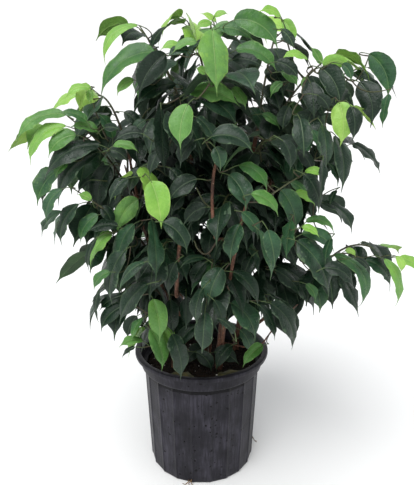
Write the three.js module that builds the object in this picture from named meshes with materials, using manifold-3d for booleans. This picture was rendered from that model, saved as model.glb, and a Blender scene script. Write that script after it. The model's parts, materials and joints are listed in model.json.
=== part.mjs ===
// A weeping fig grown as a bush: five rooted cuttings in a black ribbed nursery pot.
// Millimetres, +Z up. The origin is the middle of the pot's underside, and -Y faces the viewer.
import * as THREE from "three";
import { mergeVertices } from "three/addons/utils/BufferGeometryUtils.js";
import Module from "manifold-3d";

const wasm = await Module();
wasm.setup();

// Driving dimensions of the pot, a 10 inch nursery pot
const POT_HEIGHT = 241;
const RIM_RADIUS = 133.5;
const LIP_DEPTH = 8;
const BAND_DEPTH = 32;
const BAND_TOP_RADIUS = 124.5;
const BAND_FOOT_RADIUS = 121;
const BODY_TOP_RADIUS = 114;
const BASE_RADIUS = 104.5;
const FOOT_INSET = 3;
const FOOT_BEVEL = 4;
const COLLAR_STEP = 3;
const POT_WALL = 2.2;
const POT_FLOOR = 3;
const RIB_COUNT = 20;
const RIB_HEIGHT = 1.3;
const RIB_HALF_DEGREES = 1.7;
const DRAIN_COUNT = 6;
const DRAIN_WIDTH = 16;
const DRAIN_HEIGHT = 9;
const DRAIN_TURN = -11.4;

// Driving dimensions of the soil
const SOIL_EDGE = 208;
const SOIL_CROWN = 6;
const SOIL_SHOULDER = 4;

// Driving dimensions of the plant
const SEAT_GAP = 0.3;
const STEM_FOOT = 130;
const WOOD_TAPER = 0.6;
const STEM_SIDES = 6;
const STEM_RINGS = 7;
const BRANCH_SIDES = 4;
const BRANCH_RINGS = 3;
const TWIG_RINGS = 4;
const TWIG_ROOT_RADIUS = 2.9;
const TWIG_TIP_RADIUS = 2.1;
const LEAF_PITCH = 17;
const JOINT_MARGIN = 4;
const START_STEP = 0.5;
const MOST_START = 30;
const BARE_ROOT = 34;
const LEAF_LENGTH = 84;
const LEAF_WIDTH_RATIO = 0.51;
const LEAF_THICKNESS = 1.4;
const PETIOLE_LENGTH = 15;
const PETIOLE_RADIUS = 0.8;
const CLEARANCE = 0.5;
const GUARD_START = 0.4;
const LEAF_TRIES = 11;
const TRY_TURN = 15;
const TRY_DROOP = 2;
const TRY_SHRINK = 0.012;
const SPRAY_COUNT = 42;

// What varies from leaf to leaf: the middle of each range, and how far it goes to each side.
// Angles are in degrees, and stalk and size are shares of the full lengths.
const OPEN = [52, 20];
const LAST_OPEN = [0, 12];
const STALK = [1, 0.2];
const STALK_PITCH = [12, 12];
const START_PITCH = [-20, 28];
const YOUNG_START_PITCH = [-2, 22];
const END_PITCH = [-72, 22];
const ROLL = [-8, 34];
const TWIST = [0, 30];
const FOLD = [13, 8];
const SIZE = [0.9, 0.16];
const YOUNG_SIZE = [0.8, 0.16];

const DEGREE = Math.PI / 180;

// A repeatable number from 0 to 1 for each whole number
function noise(n) {
  const x = Math.sin(n * 12.9898 + 4.1414) * 43758.5453;
  return x - Math.floor(x);
}

// A repeatable number in a range
function vary([middle, reach], n) {
  return middle + reach * (2 * noise(n) - 1);
}

// A closed geometry as a solid: the faces that shrank to a line or a point are dropped
function solidOf(geometry) {
  const bare = new THREE.BufferGeometry().setAttribute("position", geometry.getAttribute("position"));
  bare.setIndex(geometry.index);
  const merged = mergeVertices(bare, 1e-4);
  const kept = [];
  const index = merged.index.array;
  for (let i = 0; i < index.length; i += 3) {
    const [a, b, c] = index.slice(i, i + 3);
    if (a !== b && b !== c && c !== a) kept.push(a, b, c);
  }
  return new wasm.Manifold(
    new wasm.Mesh({
      numProp: 3,
      vertProperties: merged.getAttribute("position").array,
      triVerts: new Uint32Array(kept),
    }),
  );
}

function geometryOf(solid) {
  const mesh = solid.getMesh();
  const geometry = new THREE.BufferGeometry();
  geometry.setAttribute("position", new THREE.BufferAttribute(mesh.vertProperties, 3));
  geometry.setIndex(new THREE.BufferAttribute(mesh.triVerts, 1));
  return geometry;
}

// Triangles that are gathered into one closed solid
class Surface {
  corners = [];

  triangle(a, b, c) {
    this.corners.push(a.x, a.y, a.z, b.x, b.y, b.z, c.x, c.y, c.z);
  }

  // Skins rings of points that all turn the same way. The cuts across its four-cornered faces
  // lean to each side in turn, so a blade is split alike above and below and never crosses itself.
  skin(rings) {
    for (let i = 1; i < rings.length; i++) {
      const [near, far] = [rings[i - 1], rings[i]];
      near.forEach((point, j) => {
        const k = (j + 1) % near.length;
        const [first, second] = j % 2 ? [far[j], near[k]] : [far[k], point];
        this.triangle(point, near[k], first);
        this.triangle(second, far[k], far[j]);
      });
    }
  }

  // A flat end: turned is true where the surface starts, false where it stops
  cap(ring, turned) {
    for (let j = 2; j < ring.length; j++) {
      const [b, c] = turned ? [ring[j], ring[j - 1]] : [ring[j - 1], ring[j]];
      this.triangle(ring[0], b, c);
    }
  }

  // A flat side with three-cornered holes in it
  side(outline, holes) {
    const [origin, across, , along] = outline;
    const u = along.clone().sub(origin).normalize();
    const normal = across.clone().sub(origin).cross(u).normalize();
    const v = normal.clone().cross(u);
    const flat = (point) => {
      const offset = point.clone().sub(origin);
      return new THREE.Vector2(offset.dot(u), offset.dot(v));
    };
    const points = [...outline, ...holes.flat()];
    const flats = points.map(flat);
    const flatHoles = holes.map((hole) => hole.map(flat));
    const faces = THREE.ShapeUtils.triangulateShape(outline.map(flat), flatHoles);
    const area = faces.reduce((sum, face) => sum + THREE.ShapeUtils.area(face.map((i) => flats[i])), 0);
    for (const [a, b, c] of faces) {
      this.triangle(points[a], points[area < 0 ? c : b], points[area < 0 ? b : c]);
    }
  }

  solid() {
    const geometry = new THREE.BufferGeometry();
    geometry.setAttribute("position", new THREE.BufferAttribute(new Float32Array(this.corners), 3));
    return solidOf(geometry);
  }
}

function solidFromRings(rings) {
  const surface = new Surface();
  surface.cap(rings[0], true);
  surface.skin(rings);
  surface.cap(rings[rings.length - 1], false);
  return surface.solid();
}

// Pot: a thin blow-moulded wall with a rolled lip, a collar under it and upright ribs
function wallRadius(z) {
  const share = z / (POT_HEIGHT - BAND_DEPTH);
  return BASE_RADIUS + (BODY_TOP_RADIUS - BASE_RADIUS) * share;
}

function makePot() {
  const bodyTop = POT_HEIGHT - BAND_DEPTH;
  const lipFoot = POT_HEIGHT - LIP_DEPTH;
  const outside = [
    [0, 0],
    [BASE_RADIUS - FOOT_INSET, 0],
    [wallRadius(FOOT_BEVEL), FOOT_BEVEL],
    [wallRadius(bodyTop - COLLAR_STEP), bodyTop - COLLAR_STEP],
    [BAND_FOOT_RADIUS, bodyTop],
    [BAND_TOP_RADIUS, lipFoot - 1],
    [RIM_RADIUS, lipFoot],
    [RIM_RADIUS, POT_HEIGHT],
  ];
  const inside = [
    [BAND_TOP_RADIUS - POT_WALL, POT_HEIGHT - 2],
    [BAND_FOOT_RADIUS - POT_WALL, bodyTop + COLLAR_STEP],
    [wallRadius(bodyTop) - POT_WALL, bodyTop],
    [wallRadius(POT_FLOOR) - POT_WALL, POT_FLOOR],
    [0, POT_FLOOR],
  ];
  const ribbedRows = [2, 3];
  const offsets = [-RIB_HALF_DEGREES, 0, RIB_HALF_DEGREES];
  const sides = RIB_COUNT * offsets.length;
  const profile = [...outside, ...inside].map(([r, z]) => new THREE.Vector2(r, z));
  const lathe = new THREE.LatheGeometry(profile, sides);
  const points = lathe.getAttribute("position");
  for (let i = 0; i < points.count; i++) {
    const row = i % profile.length;
    const column = Math.floor(i / profile.length) % sides;
    const offset = offsets[column % offsets.length];
    const angle = (Math.floor(column / offsets.length) + 0.5) * ((2 * Math.PI) / RIB_COUNT) + offset * DEGREE;
    const crest = ribbedRows.includes(row) && offset === 0;
    const radius = profile[row].x + (crest ? RIB_HEIGHT : 0);
    points.setXYZ(i, radius * Math.sin(angle), -radius * Math.cos(angle), profile[row].y);
  }
  let pot = solidOf(lathe);
  for (let i = 0; i < DRAIN_COUNT; i++) {
    const cutter = new THREE.BoxGeometry(DRAIN_WIDTH, 24, DRAIN_HEIGHT);
    cutter.translate(0, -BASE_RADIUS, DRAIN_HEIGHT / 2 + POT_FLOOR + 1);
    cutter.rotateZ((i * 2 * Math.PI) / DRAIN_COUNT + DRAIN_TURN * DEGREE);
    pot = pot.subtract(solidOf(cutter));
  }
  return pot;
}

// Soil: fills the pot to a low crown, with a plain hole for each stem. Its corners stand
// behind the ribs, so that its sides lie along the flat panels between them.
function soilTop(radius) {
  return SOIL_EDGE + SOIL_CROWN * Math.cos((radius / BODY_TOP_RADIUS) * (Math.PI / 2));
}

function makeSoil(holes) {
  const reach = (z) => wallRadius(z) - POT_WALL - SEAT_GAP;
  const foot = POT_FLOOR + SEAT_GAP;
  const shoulder = SOIL_EDGE - SOIL_SHOULDER;
  const crown = [0.9, 0.5].map((share) => {
    const radius = reach(shoulder) * share;
    return new THREE.Vector2(radius, soilTop(radius));
  });
  const profile = [
    new THREE.Vector2(0, foot),
    new THREE.Vector2(reach(foot), foot),
    new THREE.Vector2(reach(shoulder), shoulder),
    ...crown,
    new THREE.Vector2(0, soilTop(0)),
  ];
  const lathe = new THREE.LatheGeometry(profile, RIB_COUNT, Math.PI / RIB_COUNT);
  lathe.rotateX(Math.PI / 2);
  return holes.reduce((soil, hole) => soil.subtract(hole), solidOf(lathe));
}

// Wood: rooted cuttings, and the branches that fork from them. Each is a curve that climbs
// evenly from its foot to its top. A branch starts on its parent's middle line.
const WOOD = [
  { foot: [-56, -26], bow: [-52, -44], lean: [-26, -44], top: [-10, -58, 690], radius: 8 },
  { foot: [33, -37], bow: [30, -44], lean: [66, -40], top: [96, -66, 670], radius: 8.5 },
  { foot: [4, 28], bow: [26, -30], lean: [18, -22], top: [16, -6, 745], radius: 8 },
  { foot: [66, 34], bow: [74, 60], lean: [120, 36], top: [150, 30, 670], radius: 7 },
  { foot: [-36, 58], bow: [-40, 96], lean: [-66, 80], top: [-66, 92, 680], radius: 7 },
  { parent: 0, from: 300, bow: [-86, -40], lean: [-112, -50], top: [-124, -60, 640], radius: 5 },
  { parent: 3, from: 232, bow: [118, 14], lean: [168, -4], top: [216, -24, 392], radius: 4.5 },
  { parent: 1, from: 420, bow: [88, -66], lean: [112, -104], top: [136, -96, 640], radius: 4.5 },
  { parent: 4, from: 330, bow: [-92, 84], lean: [-128, 60], top: [-150, 50, 600], radius: 4.5 },
  { parent: 3, from: 360, bow: [120, 96], lean: [146, 118], top: [156, 124, 600], radius: 4.5 },
  { parent: 2, from: 380, bow: [34, 66], lean: [40, 104], top: [36, 124, 660], radius: 4.5 },
];

const isBranch = (wood) => wood.parent !== undefined;

// Where a piece of wood's middle line is at a height
function woodPoint(wood, z) {
  return woodCurve(wood).getPoint((z - woodFoot(wood).z) / (wood.top[2] - woodFoot(wood).z));
}

function woodFoot(wood) {
  if (isBranch(wood)) return woodPoint(WOOD[wood.parent], wood.from);
  return new THREE.Vector3(...wood.foot, STEM_FOOT);
}

function woodCurve(wood) {
  const foot = woodFoot(wood);
  const climb = (wood.top[2] - foot.z) / 3;
  return new THREE.CubicBezierCurve3(
    foot,
    new THREE.Vector3(...wood.bow, foot.z + climb),
    new THREE.Vector3(...wood.lean, foot.z + 2 * climb),
    new THREE.Vector3(...wood.top),
  );
}

// Rings lie level, since wood stands nearly upright. grow makes the hole that a stem stands in.
function makeWood(wood, grow = 0) {
  const curve = woodCurve(wood);
  const rings = [];
  const [count, sides] = isBranch(wood) ? [BRANCH_RINGS, BRANCH_SIDES] : [STEM_RINGS, STEM_SIDES];
  for (let i = 0; i <= count; i++) {
    const t = i / count;
    const centre = curve.getPoint(t);
    const radius = wood.radius * (1 - WOOD_TAPER * t) + grow;
    if (i === 0) centre.z -= grow;
    rings.push(
      Array.from({ length: sides }, (_, j) => {
        const angle = (j / sides) * 2 * Math.PI;
        return centre.clone().add(new THREE.Vector3(radius * Math.cos(angle), radius * Math.sin(angle), 0));
      }),
    );
  }
  return solidFromRings(rings);
}

// A stem with the branches that grow from it
function makeStem(index, grow = 0) {
  const branches = WOOD.filter((wood) => wood.parent === index);
  return wasm.Manifold.union([WOOD[index], ...branches].map((wood) => makeWood(wood, grow)));
}

// Leaf: a stalk, then a blade that bends down in an arc, with a narrow drip tip
const BLADE_STATIONS = [
  { share: 0.2, width: 0.9 },
  { share: 0.56, width: 0.88 },
  { share: 0.82, width: 0.14 },
];

// The middle line of a blade, with the directions across it and out of its upper face
function bladeFrame(leaf, along) {
  const bend = (leaf.endPitch - leaf.startPitch) / leaf.length;
  const pitch = leaf.startPitch + bend * along;
  const out = (Math.sin(pitch) - Math.sin(leaf.startPitch)) / bend;
  const up = (Math.cos(leaf.startPitch) - Math.cos(pitch)) / bend;
  const ahead = new THREE.Vector3(Math.cos(leaf.azimuth), Math.sin(leaf.azimuth), 0);
  const left = new THREE.Vector3(-ahead.y, ahead.x, 0);
  const above = new THREE.Vector3(0, 0, Math.cos(pitch)).addScaledVector(ahead, -Math.sin(pitch));
  const roll = leaf.roll + (leaf.twist * along) / leaf.length;
  return {
    point: stalkEnd(leaf).addScaledVector(ahead, out).add(new THREE.Vector3(0, 0, up)),
    across: left.clone().multiplyScalar(Math.cos(roll)).addScaledVector(above, Math.sin(roll)),
    normal: above.clone().multiplyScalar(Math.cos(roll)).addScaledVector(left, -Math.sin(roll)),
  };
}

function stalkEnd(leaf) {
  const reach = leaf.stalk * Math.cos(leaf.stalkPitch);
  return new THREE.Vector3(
    leaf.root.x + reach * Math.cos(leaf.azimuth),
    leaf.root.y + reach * Math.sin(leaf.azimuth),
    leaf.root.z + leaf.stalk * Math.sin(leaf.stalkPitch),
  );
}

// Four corners of the blade's section: left edge, upper rib, right edge, under rib
function bladeRing(leaf, along, halfWidth, halfThickness) {
  const { point, across, normal } = bladeFrame(leaf, along);
  const rise = halfWidth * Math.sin(leaf.fold);
  const half = halfWidth * Math.cos(leaf.fold);
  return [
    point.clone().addScaledVector(across, half).addScaledVector(normal, rise),
    point.clone().addScaledVector(normal, halfThickness),
    point.clone().addScaledVector(across, -half).addScaledVector(normal, rise),
    point.clone().addScaledVector(normal, -halfThickness),
  ];
}

// The directions across and out of the top of a leaf's stalk
function stalkFrame(leaf) {
  const heading = stalkEnd(leaf).sub(leaf.root).normalize();
  const across = new THREE.Vector3(-Math.sin(leaf.azimuth), Math.cos(leaf.azimuth), 0);
  return { across, normal: heading.cross(across) };
}

// Three corners, the last of them doubled, so that every ring of a leaf has four points
function stalkRing(centre, { across, normal }, radius) {
  const corner = (degrees) =>
    centre
      .clone()
      .addScaledVector(across, radius * Math.cos(degrees * DEGREE))
      .addScaledVector(normal, radius * Math.sin(degrees * DEGREE));
  return [corner(-30), corner(90), corner(210), corner(210)];
}

// The rings of a leaf from the end of its stalk on
function leafRings(leaf, swell = 0) {
  const halfWidth = (leaf.length * LEAF_WIDTH_RATIO) / 2;
  const rings = [stalkRing(stalkEnd(leaf), bladeFrame(leaf, 0), PETIOLE_RADIUS + swell)];
  for (const { share, width } of BLADE_STATIONS) {
    rings.push(bladeRing(leaf, leaf.length * share, halfWidth * width + swell, LEAF_THICKNESS / 2 + swell));
  }
  const drip = rings.at(-1);
  drip[1] = drip[2];
  const tip = bladeFrame(leaf, leaf.length + 2 * swell).point;
  return [...rings, [tip, tip, tip, tip]];
}

// A leaf by itself, from a share of the way along its stalk. swell makes it fatter all round.
function makeLeaf(leaf, swell = 0, from = 0) {
  const start = leaf.root.clone().lerp(stalkEnd(leaf), from);
  const first = stalkRing(start, stalkFrame(leaf), PETIOLE_RADIUS + swell);
  return solidFromRings([first, ...leafRings(leaf, swell)]);
}

// Sprays: arching twigs set with leaves. Those that shape the outline are placed by hand:
// the wood it leaves, the height there, where the twig ends, how far it arches up, and how
// many leaves it has. shoot is how many of those, counted from the end, are young and bright.
const LEADERS = [
  { wood: 0, from: 655, to: [-98, -66, 826], lift: 26, leaves: 8, shoot: 0 },
  { wood: 0, from: 640, to: [-70, -128, 776], lift: 30, leaves: 9, shoot: 0 },
  { wood: 5, from: 628, to: [-168, -70, 724], lift: 26, leaves: 9, shoot: 3 },
  { wood: 5, from: 530, to: [-260, -60, 664], lift: 52, leaves: 13, shoot: 4 },
  { wood: 5, from: 480, to: [-252, -24, 592], lift: 54, leaves: 11, shoot: 0 },
  { wood: 5, from: 440, to: [-226, -78, 528], lift: 44, leaves: 11, shoot: 0 },
  { wood: 5, from: 390, to: [-176, -84, 462], lift: 40, leaves: 10, shoot: 0 },
  { wood: 5, from: 345, to: [-140, -96, 388], lift: 32, leaves: 9, shoot: 0 },
  { wood: 0, from: 290, to: [-92, -116, 336], lift: 34, leaves: 8, shoot: 2 },
  { wood: 0, from: 520, to: [-88, -188, 606], lift: 40, leaves: 10, shoot: 2 },
  { wood: 2, from: 690, to: [14, -142, 806], lift: 26, leaves: 10, shoot: 0 },
  { wood: 2, from: 720, to: [-20, -50, 838], lift: 14, leaves: 8, shoot: 4 },
  { wood: 2, from: 735, to: [84, -10, 842], lift: 18, leaves: 9, shoot: 3 },
  { wood: 1, from: 655, to: [122, -70, 822], lift: 20, leaves: 10, shoot: 0 },
  { wood: 1, from: 600, to: [200, -92, 778], lift: 24, leaves: 11, shoot: 4 },
  { wood: 3, from: 600, to: [272, -24, 770], lift: 40, leaves: 11, shoot: 0 },
  { wood: 7, from: 600, to: [206, -128, 700], lift: 30, leaves: 10, shoot: 2 },
  { wood: 3, from: 530, to: [252, -44, 640], lift: 44, leaves: 11, shoot: 0 },
  { wood: 7, from: 500, to: [180, -142, 556], lift: 33, leaves: 10, shoot: 0 },
  { wood: 6, from: 380, to: [334, -70, 446], lift: 50, leaves: 11, shoot: 2 },
  { wood: 6, from: 330, to: [232, -100, 424], lift: 40, leaves: 9, shoot: 0 },
  { wood: 1, from: 340, to: [112, -140, 392], lift: 40, leaves: 10, shoot: 0 },
  { wood: 1, from: 380, to: [28, -166, 436], lift: 44, leaves: 10, shoot: 0 },
  { wood: 0, from: 590, to: [-32, -196, 682], lift: 36, leaves: 10, shoot: 0 },
  { wood: 0, from: 400, to: [-62, -182, 482], lift: 44, leaves: 10, shoot: 0 },
  { wood: 1, from: 550, to: [104, -186, 654], lift: 36, leaves: 10, shoot: 0 },
  { wood: 0, from: 630, to: [42, -190, 742], lift: 36, leaves: 10, shoot: 0 },
  { wood: 1, from: 500, to: [34, -196, 560], lift: 36, leaves: 10, shoot: 0 },
];

// The rest fill a rounded crown: twig ends spaced by the golden angle over an egg shape
const CROWN_CENTRE = new THREE.Vector3(10, 10, 548);
const CROWN_REACH = new THREE.Vector3(212, 206, 256);
const CROWN_DEPTH = [0.91, 0.09];
const CROWN_STEPS = 89;
const CROWN_STRIDE = 34;
const CROWN_TOP = 0.92;
const CROWN_SPAN = 1.76;
const GOLDEN_ANGLE = Math.PI * (3 - Math.sqrt(5));
const END_SPACING = 104;
const ROOT_DROP = 90;
const LOWEST_ROOT = 262;
const FOOT_MARGIN = 30;
const TOP_MARGIN = 20;
const ARCH_SHARE = 0.24;
const REACH_PER_LEAF = 13;
const FEWEST_LEAVES = 8;
const MOST_LEAVES = 11;

function crownEnd(i) {
  const height = CROWN_TOP - (CROWN_SPAN * (i + 0.5)) / CROWN_STEPS;
  const girth = Math.sqrt(1 - height * height);
  const depth = vary(CROWN_DEPTH, i * 7 + 1);
  return new THREE.Vector3(
    CROWN_CENTRE.x + CROWN_REACH.x * girth * depth * Math.cos(i * GOLDEN_ANGLE),
    CROWN_CENTRE.y + CROWN_REACH.y * girth * depth * Math.sin(i * GOLDEN_ANGLE),
    CROWN_CENTRE.z + CROWN_REACH.z * height * depth,
  );
}

// A twig of the crown leaves the wood that is nearest its end, lower down
function crownSpray(i) {
  const end = crownEnd(i);
  const height = (wood) => {
    const lowest = Math.max(end.z - ROOT_DROP, woodFoot(wood).z + FOOT_MARGIN, LOWEST_ROOT);
    return Math.min(lowest, wood.top[2] - TOP_MARGIN);
  };
  const distance = (wood) => woodPoint(wood, height(wood)).distanceTo(end);
  const wood = WOOD.reduce((best, other, j) => (distance(other) < distance(WOOD[best]) ? j : best), 0);
  const reach = distance(WOOD[wood]);
  return {
    wood,
    from: height(WOOD[wood]),
    to: end.toArray(),
    lift: ARCH_SHARE * reach,
    leaves: Math.min(Math.max(Math.round(reach / REACH_PER_LEAF), FEWEST_LEAVES), MOST_LEAVES),
    shoot: 0,
  };
}

// Joints of a twig: its pieces between them are straight, and leaves grow along them
function twigJoints(spray) {
  const root = woodPoint(WOOD[spray.wood], spray.from);
  const end = new THREE.Vector3(...spray.to);
  const middle = root.clone().lerp(end, 0.5);
  middle.z += 2 * spray.lift;
  return new THREE.QuadraticBezierCurve3(root, middle, end).getPoints(TWIG_RINGS);
}

function twigLength(spray) {
  const joints = twigJoints(spray);
  return joints.slice(1).reduce((sum, joint, i) => sum + joint.distanceTo(joints[i]), 0);
}

// The place on a twig at a distance back from its end, and which of its pieces that is on.
// Leaves keep clear of the joints between the pieces.
function twigPlace(spray, back) {
  const joints = twigJoints(spray);
  let left = back;
  for (let i = joints.length - 1; i > 0; i--) {
    const piece = joints[i].clone().sub(joints[i - 1]);
    const length = piece.length();
    if (left <= length || i === 1) {
      const along = back ? Math.min(Math.max(left, JOINT_MARGIN), length - JOINT_MARGIN) : 0;
      const heading = piece.normalize();
      return { point: joints[i].clone().addScaledVector(heading, -along), heading, piece: i - 1 };
    }
    left -= length;
  }
}

// Three-cornered rings square to the twig at its joints, one corner of each on top
function twigRings(spray, first, last, start) {
  const joints = twigJoints(spray);
  const rings = [];
  for (let i = first; i <= last; i++) {
    const before = joints[Math.max(i - 1, 0)];
    const after = joints[Math.min(i + 1, TWIG_RINGS)];
    const heading = after.clone().sub(before).normalize();
    const level = new THREE.Vector3(-heading.y, heading.x, 0).normalize();
    const upright = heading.clone().cross(level);
    const radius = TWIG_ROOT_RADIUS + ((TWIG_TIP_RADIUS - TWIG_ROOT_RADIUS) * i) / TWIG_RINGS;
    const centre = joints[i].clone();
    if (i === first) centre.addScaledVector(joints[i + 1].clone().sub(joints[i]).normalize(), start);
    rings.push(
      [90, 210, 330].map((degrees) =>
        centre
          .clone()
          .addScaledVector(level, radius * Math.cos(degrees * DEGREE))
          .addScaledVector(upright, radius * Math.sin(degrees * DEGREE)),
      ),
    );
  }
  return rings;
}

// How far back from the twig's end its leaf number j grows. The young ones share the last piece.
function leafBack(spray, j) {
  const joints = twigJoints(spray);
  const shoot = spray.shoot ? joints[TWIG_RINGS].distanceTo(joints[TWIG_RINGS - 1]) : 0;
  if (j < spray.shoot) return (j * shoot) / spray.shoot;
  const room = twigLength(spray) - BARE_ROOT - shoot;
  const pitch = Math.min(LEAF_PITCH, room / (spray.leaves - spray.shoot - 1));
  return (spray.shoot ? shoot + JOINT_MARGIN : 0) + (j - spray.shoot) * pitch;
}

// Leaf number j of a spray, counted back from its end. Each further go turns it more to one
// side, then to the other, and lets it hang a little lower.
function leafOf(spray, j, go) {
  const key = spray.seed * 40 + j * 1000;
  const isYoung = j < spray.shoot;
  const { point, heading, piece } = twigPlace(spray, leafBack(spray, j));
  const side = j % 2 ? 1 : -1;
  const open = j === 0 ? vary(LAST_OPEN, key + 1) : side * vary(OPEN, key + 1);
  const turn = (go % 2 ? 1 : -1) * Math.ceil(go / 2) * TRY_TURN;
  const droop = TRY_DROOP * go;
  return {
    root: point,
    piece,
    azimuth: Math.atan2(heading.y, heading.x) + (open + turn) * DEGREE,
    length: LEAF_LENGTH * vary(isYoung ? YOUNG_SIZE : SIZE, key + 2) * (1 - TRY_SHRINK * go),
    stalk: PETIOLE_LENGTH * vary(STALK, key + 3),
    stalkPitch: vary(STALK_PITCH, key + 4) * DEGREE,
    startPitch: (vary(isYoung ? YOUNG_START_PITCH : START_PITCH, key + 5) - droop) * DEGREE,
    endPitch: (vary(END_PITCH, key + 6) - droop) * DEGREE,
    roll: side * vary(ROLL, key + 7) * DEGREE,
    twist: vary(TWIST, key + 8) * DEGREE,
    fold: vary(FOLD, key + 9) * DEGREE,
  };
}

// The side of a twig piece that faces most nearly along a leaf's stalk, with its normal
function facingSide(rings, piece, heading) {
  const sides = rings[piece].map((corner, k) => {
    const next = (k + 1) % rings[piece].length;
    const outline = [corner, rings[piece][next], rings[piece + 1][next], rings[piece + 1][k]];
    const along = outline[3].clone().sub(corner);
    return { k, outline, normal: outline[1].clone().sub(corner).cross(along).normalize() };
  });
  return sides.reduce((best, side) => (side.normal.dot(heading) > best.normal.dot(heading) ? side : best));
}

// A leaf's stalk starts in the middle of the twig's side, as three corners of a hole in it
function stalkRoot(leaf, { outline, normal }) {
  const middle = leaf.root.clone().addScaledVector(normal, outline[0].clone().sub(leaf.root).dot(normal));
  return stalkRing(middle, stalkFrame(leaf), PETIOLE_RADIUS)
    .slice(0, 3)
    .map((corner) => corner.addScaledVector(normal, middle.clone().sub(corner).dot(normal)));
}

// A twig and its leaves as one closed surface. The leaf at the twig's end carries it on.
function makeSpray(rings, first, leaves) {
  const surface = new Surface();
  surface.cap(rings[0], true);
  const holes = rings.slice(1).map(() => [[], [], []]);
  let open = true;
  for (const leaf of leaves) {
    const tail = leafRings(leaf);
    if (leaf.last) {
      const [top, right, left] = rings.at(-1);
      surface.skin([[left, top, right, right], ...tail]);
      open = false;
      continue;
    }
    const side = facingSide(rings, leaf.piece - first, stalkEnd(leaf).sub(leaf.root));
    const hole = stalkRoot(leaf, side);
    holes[leaf.piece - first][side.k].push(hole);
    surface.skin([[...hole, hole[2]], ...tail]);
  }
  if (open) surface.cap(rings.at(-1), false);
  holes.forEach((sides, i) =>
    sides.forEach((cuts, k) => {
      const next = (k + 1) % 3;
      surface.side([rings[i][k], rings[i][next], rings[i + 1][next], rings[i + 1][k]], cuts);
    }),
  );
  return surface.solid();
}

// What later leaves must stay clear of, each with its box so that far ones are passed over.
// A twig is entered with its spray's seed, since its own leaves are rooted in it.
const obstacles = [];

function addObstacle(solid, seed) {
  const { min, max } = solid.boundingBox();
  obstacles.push({ solid, min, max, seed });
}

function isClear(solid, ownSeed) {
  const { min, max } = solid.boundingBox();
  return obstacles.every(
    ({ seed, ...other }) =>
      (ownSeed !== undefined && seed === ownSeed) ||
      [0, 1, 2].some((k) => other.min[k] > max[k] || other.max[k] < min[k]) ||
      other.solid.intersect(solid).isEmpty(),
  );
}

const COLOURS = {
  pot: { color: "#2b2b2f", roughness: 0.5 },
  soil: { color: "#2a201a", roughness: 0.95 },
  bark: { color: "#6e4636", roughness: 0.8 },
  mature: { color: "#24452f", roughness: 0.38 },
  young: { color: "#6fae3c", roughness: 0.42 },
  withered: { color: "#6b5a2c", roughness: 0.7 },
};

const plant = new THREE.Group();

function addPart(name, solid, finish) {
  const material = new THREE.MeshStandardMaterial({ ...COLOURS[finish], metalness: 0, flatShading: true });
  const mesh = new THREE.Mesh(geometryOf(solid), material);
  mesh.name = name;
  plant.add(mesh);
}

const pot = makePot();
addPart("nursery_pot", pot, "pot");
addObstacle(pot);

const stems = WOOD.filter((wood) => !isBranch(wood)).map((wood) => WOOD.indexOf(wood));
const soil = makeSoil(stems.map((index) => makeWood(WOOD[index], SEAT_GAP)));
addPart("potting_soil", soil, "soil");
addObstacle(soil);

stems.forEach((index) => {
  addPart(`stem_${index + 1}`, makeStem(index), "bark");
  addObstacle(makeStem(index, CLEARANCE));
});

// Leaves that have dropped lie on the soil
const DROPPED = [
  { at: [-6, -80], turn: 165, length: 60 },
  { at: [26, -84], turn: 34, length: 62 },
];

DROPPED.forEach(({ at, turn, length }, i) => {
  const leaf = {
    root: new THREE.Vector3(...at, SOIL_EDGE),
    azimuth: turn * DEGREE,
    stalk: 8,
    stalkPitch: 0,
    startPitch: 5 * DEGREE,
    endPitch: -7 * DEGREE,
    roll: 0,
    twist: 0,
    fold: 6 * DEGREE,
    length,
  };
  const rests = () => !makeLeaf(leaf).translate([0, 0, -SEAT_GAP]).intersect(soil).isEmpty();
  while (rests()) leaf.root.z += SEAT_GAP;
  addPart(`dropped_leaf_${i + 1}`, makeLeaf(leaf), "withered");
  addObstacle(makeLeaf(leaf, CLEARANCE));
});

// Twigs come first, so that every leaf can be bent clear of all of them
const sprays = [];

// Slides the start of a twig out along it until it is clear of the wood it grows from
function twigStart(spray) {
  const wood = WOOD[spray.wood];
  const trunk = makeStem(isBranch(wood) ? wood.parent : spray.wood, CLEARANCE);
  let start = START_STEP;
  const touches = () => !solidFromRings(twigRings(spray, 0, 1, start)).intersect(trunk).isEmpty();
  while (start < MOST_START && touches()) start += START_STEP;
  return start;
}

function addSpray(spray) {
  const start = twigStart(spray);
  const twig = solidFromRings(twigRings(spray, 0, TWIG_RINGS, start));
  const clear = isClear(twig);
  if (clear) {
    addObstacle(twig, spray.seed);
    sprays.push({ ...spray, start });
  }
  return clear;
}

LEADERS.forEach((spray, i) => addSpray({ ...spray, seed: i }));
for (let i = 0; i < CROWN_STEPS && sprays.length < SPRAY_COUNT; i++) {
  const step = (i * CROWN_STRIDE) % CROWN_STEPS;
  const spray = { ...crownSpray(step), seed: LEADERS.length + step };
  const end = new THREE.Vector3(...spray.to);
  const crowded = sprays.some((other) => new THREE.Vector3(...other.to).distanceTo(end) < END_SPACING);
  if (!crowded) addSpray(spray);
}

// The leaves of a spray from number first to last, each in the first of its goes that has
// room. One that has no room in any go is left off.
function leavesOf(spray, first, last) {
  const leaves = [];
  for (let j = first; j < last; j++) {
    for (let go = 0; go < LEAF_TRIES; go++) {
      const leaf = leafOf(spray, j, go);
      const bare = makeLeaf(leaf);
      const guard = makeLeaf(leaf, CLEARANCE, GUARD_START);
      if (isClear(guard) && isClear(bare, spray.seed)) {
        addObstacle(guard);
        addObstacle(bare);
        leaves.push({ ...leaf, last: j === 0 });
        break;
      }
    }
  }
  return leaves;
}

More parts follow.
